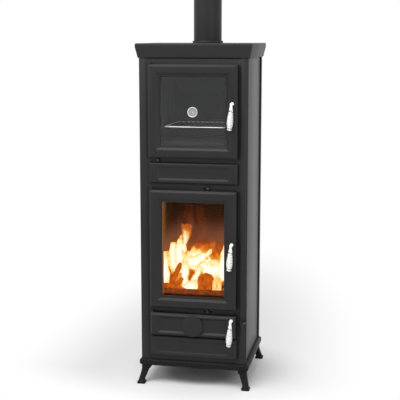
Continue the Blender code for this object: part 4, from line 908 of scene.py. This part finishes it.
screw = {
    "radius": 0.0042,
    "height": 0.0024,
    "inset": 0.014,
    "rows": 5,
    "endGap": 0.05,
    "sides": 24,
    # the head's section with its socket, as shares of the radius and the height
    "head": ((0, 0), (1, 0), (1, 0.35), (0.80, 0.80), (0.45, 1), (0.30, 1), (0.22, 0.45), (0, 0.45)),
}
rearLow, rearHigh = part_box("rear_panel")
headProfile = [(screw["radius"] * out, screw["height"] * up) for out, up in screw["head"]]
span = rearHigh.z - rearLow.z - 2 * screw["endGap"]
bm = bmesh.new()
for x in (rearLow.x + screw["inset"], rearHigh.x - screw["inset"]):
    for i in range(screw["rows"]):
        z = rearLow.z + screw["endGap"] + span * i / (screw["rows"] - 1)
        turned(bm, headProfile, aimed((x, rearHigh.y, z), (0, 1, 0)), screw["sides"])
addPiece("rearScrews", bm, "steel", "root")
print("rear screws set")

grip = {
    "reach": 0.050,
    "lean": 3.8,
    "wireRadius": 0.0026,
    "turns": 10.5,
    "lead": 1.2,
    "space": 0.0758,
    "tuck": 0.0003,
    "pitch": 0.0064,
    "topRadius": 0.0060,
    "bellyRadius": 0.0107,
    "endRadius": 0.0068,
    "bellyShare": 0.66,
    "bend": 0.0015,
    "bendTurns": 0.25,
    "start": -0.024,
    "stepsPerTurn": 28,
    "axes": {"oven": (0.1640, 1.1960), "fire": (0.1648, 0.6220), "ash": (0.1649, 0.3005)},
}


def coilRadius(way):
    # swelling from the ferrule to the belly, then drawing in to the cap
    if way < grip["bellyShare"]:
        swell = math.sin(math.pi / 2 * way / grip["bellyShare"])
        return grip["topRadius"] + (grip["bellyRadius"] - grip["topRadius"]) * swell
    fall = 1 - math.cos(math.pi / 2 * (way - grip["bellyShare"]) / (1 - grip["bellyShare"]))
    return grip["bellyRadius"] + (grip["endRadius"] - grip["bellyRadius"]) * fall


def coilPath():
    # straight into the ferrule and the cap, with a short bend at each end of the turns
    top = grip["start"] - grip["tuck"]
    bottom = grip["start"] - grip["space"] + grip["tuck"]
    helixTop = top - grip["lead"] * grip["wireRadius"] - grip["bend"]
    steps = round(grip["turns"] * grip["stepsPerTurn"])
    bendSteps = grip["bendTurns"] * grip["stepsPerTurn"]
    path = [Vector((grip["topRadius"], 0, top))]
    for i in range(steps + 1):
        turn = math.tau * i / grip["stepsPerTurn"]
        radius = coilRadius(i / steps)
        z = helixTop - grip["pitch"] * i / grip["stepsPerTurn"]
        z += grip["bend"] * max(0, 1 - i / bendSteps) ** 2
        z -= grip["bend"] * max(0, 1 - (steps - i) / bendSteps) ** 2
        path.append(Vector((radius * math.cos(turn), radius * math.sin(turn), z)))
    path.append(Vector((path[-1].x, path[-1].y, bottom)))
    return path


for door, (x, z) in grip["axes"].items():
    pivot = Matrix.Translation((x, faceY, z)) @ Matrix.Rotation(math.radians(grip["lean"]), 4, "Y")
    pivot = pivot @ Matrix.Translation((0, -grip["reach"], 0))
    path = [pivot @ point for point in coilPath()]
    body, node = door + "_handle", door + "_grip"
    wire(door + "CoilGrip", path, grip["wireRadius"], "chrome", body, (node,))
print("coil grips wound")

dial = {
    "z": 1.160,
    "radius": 0.0205,
    "back": 0.011,  # both measured forwards from the front frame's face
    "front": 0.0185,
    "backEdge": 0.001,
    "rim": 0.0025,
    "depth": 0.004,
    # the bezel's rounded lip, in from the outside and back from the front
    "lip": ((0.0, 0.0022), (0.0004, 0.0008), (0.0012, 0.0), (0.0020, 0.0004), (0.0025, 0.0012)),
    "stemRadius": 0.003,
    "stemEnd": -0.0112,
    "stemOverlap": 0.0005,
    "plateGap": 0.0002,
    "sheet": 0.0001,
    "sides": 72,
    "plateSides": 64,
    "smallSides": 32,
    "ticks": 21,
    "sweep": 270.0,
    "tickInset": 0.0012,
    "longEvery": 4,
    "longTick": (0.0009, 0.0038),  # width and length
    "shortTick": (0.0005, 0.0022),
    "hubDepth": 0.0145,
    "hub": ((0.0, 0.0002), (0.0024, 0.0002), (0.0024, 0.0016), (0.0018, 0.0021), (0.0, 0.0021)),
}
forwards = (0, -1, 0)
dialAxis = aimed((0, faceY, dial["z"]), forwards)
low, high = dial["back"], dial["front"]
faceLevel = high - dial["depth"]
bezelProfile = (
    (0.0, low),
    (dial["radius"] - dial["backEdge"], low),
    (dial["radius"], low + dial["backEdge"]),
    *((dial["radius"] - inset, high - drop) for inset, drop in dial["lip"]),
    (dial["radius"] - dial["rim"], faceLevel),
    (0.0, faceLevel),
)
bm = bmesh.new()
turned(bm, bezelProfile, dialAxis, dial["sides"])
stem = disc(dial["stemRadius"], dial["stemEnd"], low + dial["stemOverlap"])
turned(bm, stem, dialAxis, dial["smallSides"])
addPiece("thermometerCase", bm, "chrome", "oven_door", ("oven_thermometer",))

bm = bmesh.new()
plate = dial["radius"] - dial["rim"] - dial["plateGap"]
sheet = dial["sheet"]
turned(bm, disc(plate, faceLevel + sheet / 4, faceLevel + sheet), dialAxis, dial["plateSides"])
addPiece("thermometerFace", bm, "dial", "oven_door")

bm = bmesh.new()
for i in range(dial["ticks"]):
    angle = math.radians(-dial["sweep"] / 2 + dial["sweep"] * i / (dial["ticks"] - 1))
    width, length = dial["shortTick"] if i % dial["longEvery"] else dial["longTick"]
    out = Matrix.Translation((0, plate - dial["tickInset"] - length / 2, faceLevel + sheet * 1.3))
    place = dialAxis @ Matrix.Rotation(-angle, 4, "Z") @ out
    bmesh.ops.create_cube(bm, size=1.0, matrix=place @ Matrix.Diagonal((width, length, sheet, 1.0)))
addPiece("thermometerTicks", bm, "ink", "oven_door")

bm = mergedCopy("thermometer_needle")
addPiece("thermometerNeedle", bm, "needle", "needle", ("thermometer_needle",))
bm = bmesh.new()
hubAxis = aimed((0, faceY - dial["hubDepth"], dial["z"]), forwards)
turned(bm, dial["hub"], hubAxis, dial["smallSides"])
addPiece("needleHub", bm, "chrome", "needle")
print("thermometer made")

gasketCorner = 0.006
for door in ("oven", "fire", "ash"):
    node = door + "_door_gasket"
    low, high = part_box(node)
    thick = high.y - low.y
    path = ringPath(low, high, thick / 2, gasketCorner, 2, (low.y + high.y) / 2)
    wire(door + "Rope", path, thick / 2, "rope", door + "_door", (node,), closed=True)
print("gaskets laid")

rack = {
    "bars": 11,
    "ties": (0.33, 0.67),  # shares of the rack's depth
    "barRadius": 0.0015,
    "rim": 0.0020,
    "corner": 0.008,
    "offset": 0.0005,
}
rackLow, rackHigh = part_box("oven_rack")
rackZ = (rackLow.z + rackHigh.z) / 2
rim = rack["rim"]
path = ringPath(rackLow, rackHigh, rim, rack["corner"], 1, rackZ)
wire("rackRim", path, rim, "wire", "rack", ("oven_rack",), closed=True)
z = rackZ + rack["offset"]  # the bars lie over the rim's middle and the ties under it
for i in range(rack["bars"]):
    x = rackLow.x + (rackHigh.x - rackLow.x) * (i + 1) / (rack["bars"] + 1)
    ends = ((x, rackLow.y + rim, z), (x, rackHigh.y - rim, z))
    wire(f"rackBar{i:02d}", ends, rack["barRadius"], "steel", "rack")
z = rackZ - rack["offset"]
for share in rack["ties"]:
    y = rackLow.y + (rackHigh.y - rackLow.y) * share
    ends = ((rackLow.x + rim, y, z), (rackHigh.x - rim, y, z))
    wire(f"rackTie{int(100 * share)}", ends, rack["barRadius"], "steel", "rack")
print("rack bent")

medallion = {"width": 0.0005, "angle": 40.0}
bm = mergedCopy("ash_medallion")
soften(bm, **medallion)
addPiece("medallion", bm, "cast", "ash_door", ("ash_medallion",))
print("medallion made")

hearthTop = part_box("hearth_block")[1].z
logSkin = {
    "taper": 0.94,
    "cuts": 9,
    "corner": 0.12,
    # depth of the roughness as a share of the radius, and how fine it is
    "lumps": 0.16,
    "lumpScale": 0.9,
    "bumps": 0.06,
    "bumpScale": 3.1,
    "wander": 0.25,
    "wanderScale": 1.7,
}
logs = (
    # name, one end, other end, radius, sides, flattening, seed; heights are above the hearth
    ("logLeft", (-0.122, -0.090, 0.026), (-0.074, -0.080, 0.122), 0.013, 7, 0.9, 3),
    ("logCross", (-0.114, -0.098, 0.014), (-0.056, -0.100, 0.064), 0.014, 6, 0.9, 5),
    ("logFront", (-0.124, -0.119, 0.030), (-0.044, -0.123, 0.015), 0.014, 7, 0.9, 12),
    ("logBack", (-0.110, 0.040, 0.026), (0.105, 0.010, 0.032), 0.025, 8, 0.9, 7),
    ("logSmall", (-0.034, -0.092, 0.040), (-0.027, -0.088, 0.096), 0.010, 6, 0.8, 9),
)


def onHearth(place):
    return Vector((place[0], place[1], hearthTop + place[2]))


def logPiece(name, start, end, radius, sides, squash, seed):
    # a split or round log with a rough skin
    random.seed(seed)
    start, end = onHearth(start), onHearth(end)
    length = (end - start).length
    bm = bmesh.new()
    bmesh.ops.create_cone(
        bm, cap_ends=True, cap_tris=False, segments=sides, radius1=radius,
        radius2=radius * logSkin["taper"], depth=length,
    )
    walls = [e for e in bm.edges if abs(e.verts[0].co.z - e.verts[1].co.z) > length / 2]
    bmesh.ops.subdivide_edges(bm, edges=walls, cuts=logSkin["cuts"], use_grid_fill=True)
    soften(bm, radius * logSkin["corner"], 25.0)
    bmesh.ops.triangulate(bm, faces=bm.faces)
    bmesh.ops.subdivide_edges(bm, edges=bm.edges, cuts=1, use_grid_fill=True)
    shift = Vector([random.uniform(-9, 9) for _ in range(3)])
    for v in bm.verts:
        spot = v.co / radius * logSkin["lumpScale"] + shift
        rough = noise.noise(spot) * logSkin["lumps"]
        rough += noise.noise(spot * logSkin["bumpScale"]) * logSkin["bumps"]
        v.co.x *= 1 + rough
        v.co.y *= (1 + rough) * squash
        v.co.z += radius * logSkin["wander"] * noise.noise(spot * logSkin["wanderScale"])
    matrix = aimed((start + end) / 2, end - start)
    matrix = matrix @ Matrix.Rotation(random.uniform(0, math.tau), 4, "Z")
    bmesh.ops.transform(bm, matrix=matrix, verts=bm.verts)
    bmesh.ops.recalc_face_normals(bm, faces=bm.faces)
    addPiece(name, bm, "bark", "root", smoothAngle=45.0)


for entry in logs:
    logPiece(*entry)

blocks = (
    # name, low corner, high corner, place of the peak, seed, finish; heights are above the hearth
    ("logBlock", (0.006, -0.128, 0.003), (0.062, -0.075, 0.086), 0.032, 4.0, "bark"),
    ("logHot", (0.066, -0.108, 0.003), (0.098, -0.062, 0.070), 0.082, 9.0, "hotWood"),
)
blockSkin = {
    "shoulderDrop": 0.16,  # shares of the height and of the half width
    "shoulderDraw": 0.10,
    "cuts": 5,
    "fineness": (30, 10, 30),  # longer lumps from front to back
    "lumps": 0.0045,
    "bumps": 0.0016,
    "bumpScale": 3.3,
    "seed": 1,
}


def splitBlock(name, low, high, peak, seed, kind):
    # a big split log that lies end-on, with a peaked top
    low, high = onHearth(low), onHearth(high)
    middle, size = (low + high) / 2, high - low
    bm = bmesh.new()
    place = Matrix.Translation(middle) @ Matrix.Diagonal((*size, 1.0))
    bmesh.ops.create_cube(bm, size=1.0, matrix=place)
    bmesh.ops.bisect_plane(
        bm, geom=bm.verts[:] + bm.edges[:] + bm.faces[:], plane_co=(peak, 0, 0), plane_no=(1, 0, 0)
    )
    for v in bm.verts:
        if v.co.z > middle.z and abs(v.co.x - peak) > 0.001:
            v.co.z -= size.z * blockSkin["shoulderDrop"]
            v.co.x += (middle.x - v.co.x) * blockSkin["shoulderDraw"]
    bmesh.ops.subdivide_edges(bm, edges=bm.edges, cuts=blockSkin["cuts"], use_grid_fill=True)
    shift = Vector((seed, -seed, seed * 0.5))
    for v in bm.verts:
        spot = v.co * Vector(blockSkin["fineness"]) + shift
        v.co += blockSkin["lumps"] * noise.noise_vector(spot)
        v.co += blockSkin["bumps"] * noise.noise_vector(spot * blockSkin["bumpScale"])
    bmesh.ops.recalc_face_normals(bm, faces=bm.faces)
    addPiece(name, bm, kind, "root", smoothAngle=50.0)


noise.seed_set(blockSkin["seed"])  # noise_vector takes its offsets from this
for entry in blocks:
    splitBlock(*entry)

embers = {
    "seed": 21,
    "count": 70,
    "size": (0.006, 0.014),
    "across": (-0.120, 0.120),
    "deep": (-0.125, 0.080),
    "lift": 0.55,  # shares of the size
    "narrowest": 0.6,
    "height": 0.6,
    "rough": 0.5,
    "roughScale": 190,
}
random.seed(embers["seed"])
bm = bmesh.new()
for i in range(embers["count"]):
    size = random.uniform(*embers["size"])
    x, y = random.uniform(*embers["across"]), random.uniform(*embers["deep"])
    place = Vector((x, y, hearthTop + size * embers["lift"]))
    matrix = Matrix.Translation(place) @ Matrix.Rotation(random.uniform(0, math.tau), 4, "Z")
    narrow = size * random.uniform(embers["narrowest"], 1.0)
    matrix = matrix @ Matrix.Diagonal((size, narrow, size * embers["height"], 1.0))
    lump = bmesh.ops.create_icosphere(bm, subdivisions=1, radius=1.0, matrix=matrix)
    for v in lump["verts"]:
        v.co += (v.co - place) * embers["rough"] * noise.noise(v.co * embers["roughScale"])
addPiece("embers", bm, "ember", "root", smoothAngle=70.0)

flameCloth = {"bow": 0.35, "rows": 6, "columns": 9, "ripple": 0.004, "rippleScale": 22}
flames = (
    # name, depth, finish, spine from root to tip as (x, z, half width)
    ("flameHaze", 0.050, "flameOrange", (
        (0.010, 0.42, 0.125), (0.015, 0.48, 0.112), (0.008, 0.53, 0.084), (0.000, 0.580, 0.044),
    )),
    ("flameWispA", -0.02, "flameWisp", (
        (-0.055, 0.580, 0.040), (-0.050, 0.640, 0.036), (-0.055, 0.700, 0.028), (-0.048, 0.760, 0.018),
    )),
    ("flameWispB", -0.03, "flameWisp", (
        (-0.010, 0.580, 0.034), (0.011, 0.640, 0.032), (-0.005, 0.700, 0.026), (-0.008, 0.760, 0.018),
    )),
    ("flameRightSmall", -0.005, "flameOrange", (
        (0.000, 0.480, 0.050), (0.005, 0.530, 0.044), (0.010, 0.590, 0.028),
    )),
    ("flameBand", -0.030, "flameHot", (
        (-0.140, 0.470, 0.034), (-0.086, 0.500, 0.044), (-0.046, 0.500, 0.046), (0.000, 0.496, 0.044),
        (0.050, 0.486, 0.042), (0.090, 0.480, 0.044), (0.150, 0.470, 0.048),
    )),
    ("flameRightMass", -0.052, "flameHot", (
        (-0.020, 0.480, 0.030), (0.030, 0.478, 0.034), (0.075, 0.470, 0.040), (0.145, 0.458, 0.052),
    )),
    ("flameRightRise", -0.054, "flameHot", (
        (0.096, 0.430, 0.036), (0.098, 0.470, 0.032), (0.104, 0.520, 0.022), (0.116, 0.588, 0.010),
    )),
    ("flameBroad", -0.045, "flameHot", (
        (-0.092, 0.452, 0.036), (-0.098, 0.480, 0.044), (-0.100, 0.515, 0.044), (-0.090, 0.560, 0.034),
        (-0.070, 0.622, 0.014),
    )),
    ("flameRoot", -0.040, "flameOrange", (
        (-0.100, 0.395, 0.040), (-0.090, 0.430, 0.044), (-0.080, 0.485, 0.040),
    )),
    ("flameBroadLeft", -0.048, "flameHot", (
        (-0.116, 0.480, 0.024), (-0.117, 0.530, 0.026), (-0.117, 0.592, 0.015),
    )),
    ("flameMiddle", -0.060, "flameHot", (
        (-0.038, 0.480, 0.040), (-0.030, 0.510, 0.042), (-0.018, 0.535, 0.040), (0.000, 0.570, 0.024),
    )),
    ("flameSweep", -0.065, "flameHot", (
        (-0.060, 0.498, 0.034), (-0.030, 0.508, 0.034), (0.004, 0.524, 0.028), (0.036, 0.545, 0.016),
        (0.062, 0.570, 0.006),
    )),
    ("flameTall", -0.070, "flameTall", (
        (-0.060, 0.588, 0.008), (-0.059, 0.604, 0.015), (-0.057, 0.624, 0.021), (-0.055, 0.645, 0.026),
        (-0.054, 0.678, 0.027),
    )),
    ("flameCentre", -0.112, "flameHot", (
        (-0.048, 0.388, 0.030), (-0.050, 0.430, 0.018), (-0.050, 0.475, 0.017), (-0.048, 0.530, 0.018),
    )),
    ("flamePool", -0.126, "flameHot", (
        (-0.064, 0.400, 0.018), (-0.034, 0.412, 0.028), (-0.012, 0.418, 0.028), (0.010, 0.430, 0.022),
    )),
    ("flameBranch", -0.118, "flameHot", (
        (-0.024, 0.400, 0.022), (-0.012, 0.435, 0.020), (0.000, 0.465, 0.018), (0.022, 0.505, 0.016),
    )),
    ("flameLeftColumn", -0.135, "flameHot", (
        (-0.134, 0.428, 0.018), (-0.133, 0.470, 0.025), (-0.134, 0.520, 0.026), (-0.139, 0.568, 0.024),
    )),
)


def flameSheet(name, y, kind, spine):
    # a thin curved sheet that follows its spine of (x, z, half width)
    last = len(spine) - 1
    rows, columns = flameCloth["rows"] * last, flameCloth["columns"]
    bm = bmesh.new()
    bm.loops.layers.uv.new("flow")
    bmesh.ops.create_grid(bm, x_segments=columns, y_segments=rows, size=0.5, calc_uvs=True)
    for v in bm.verts:
        along, across = (v.co.y + 0.5) * last, v.co.x * 2
        i = min(int(along), last - 1)
        part = along - i
        ease = part * part * (3 - 2 * part)
        here, ahead = spine[i], spine[i + 1]
        x, z, half = (a + (b - a) * ease for a, b in zip(here, ahead))
        before = spine[max(i - 1, 0)]
        beyond = spine[min(i + 2, last)]
        left = Vector((ahead[0] - before[0], ahead[1] - before[1])).normalized()
        right = Vector((beyond[0] - here[0], beyond[1] - here[1])).normalized()
        slope = left.lerp(right, part).normalized()
        offset = half * across
        bulge = flameCloth["bow"] * half * across * across
        v.co = Vector((x + slope.y * offset, y + bulge, z - slope.x * offset))
        v.co.y += flameCloth["ripple"] * noise.noise(v.co * flameCloth["rippleScale"])
    addPiece(name, bm, kind, "root", smoothAngle=80.0)


for entry in flames:
    flameSheet(*entry)
print("fire laid")
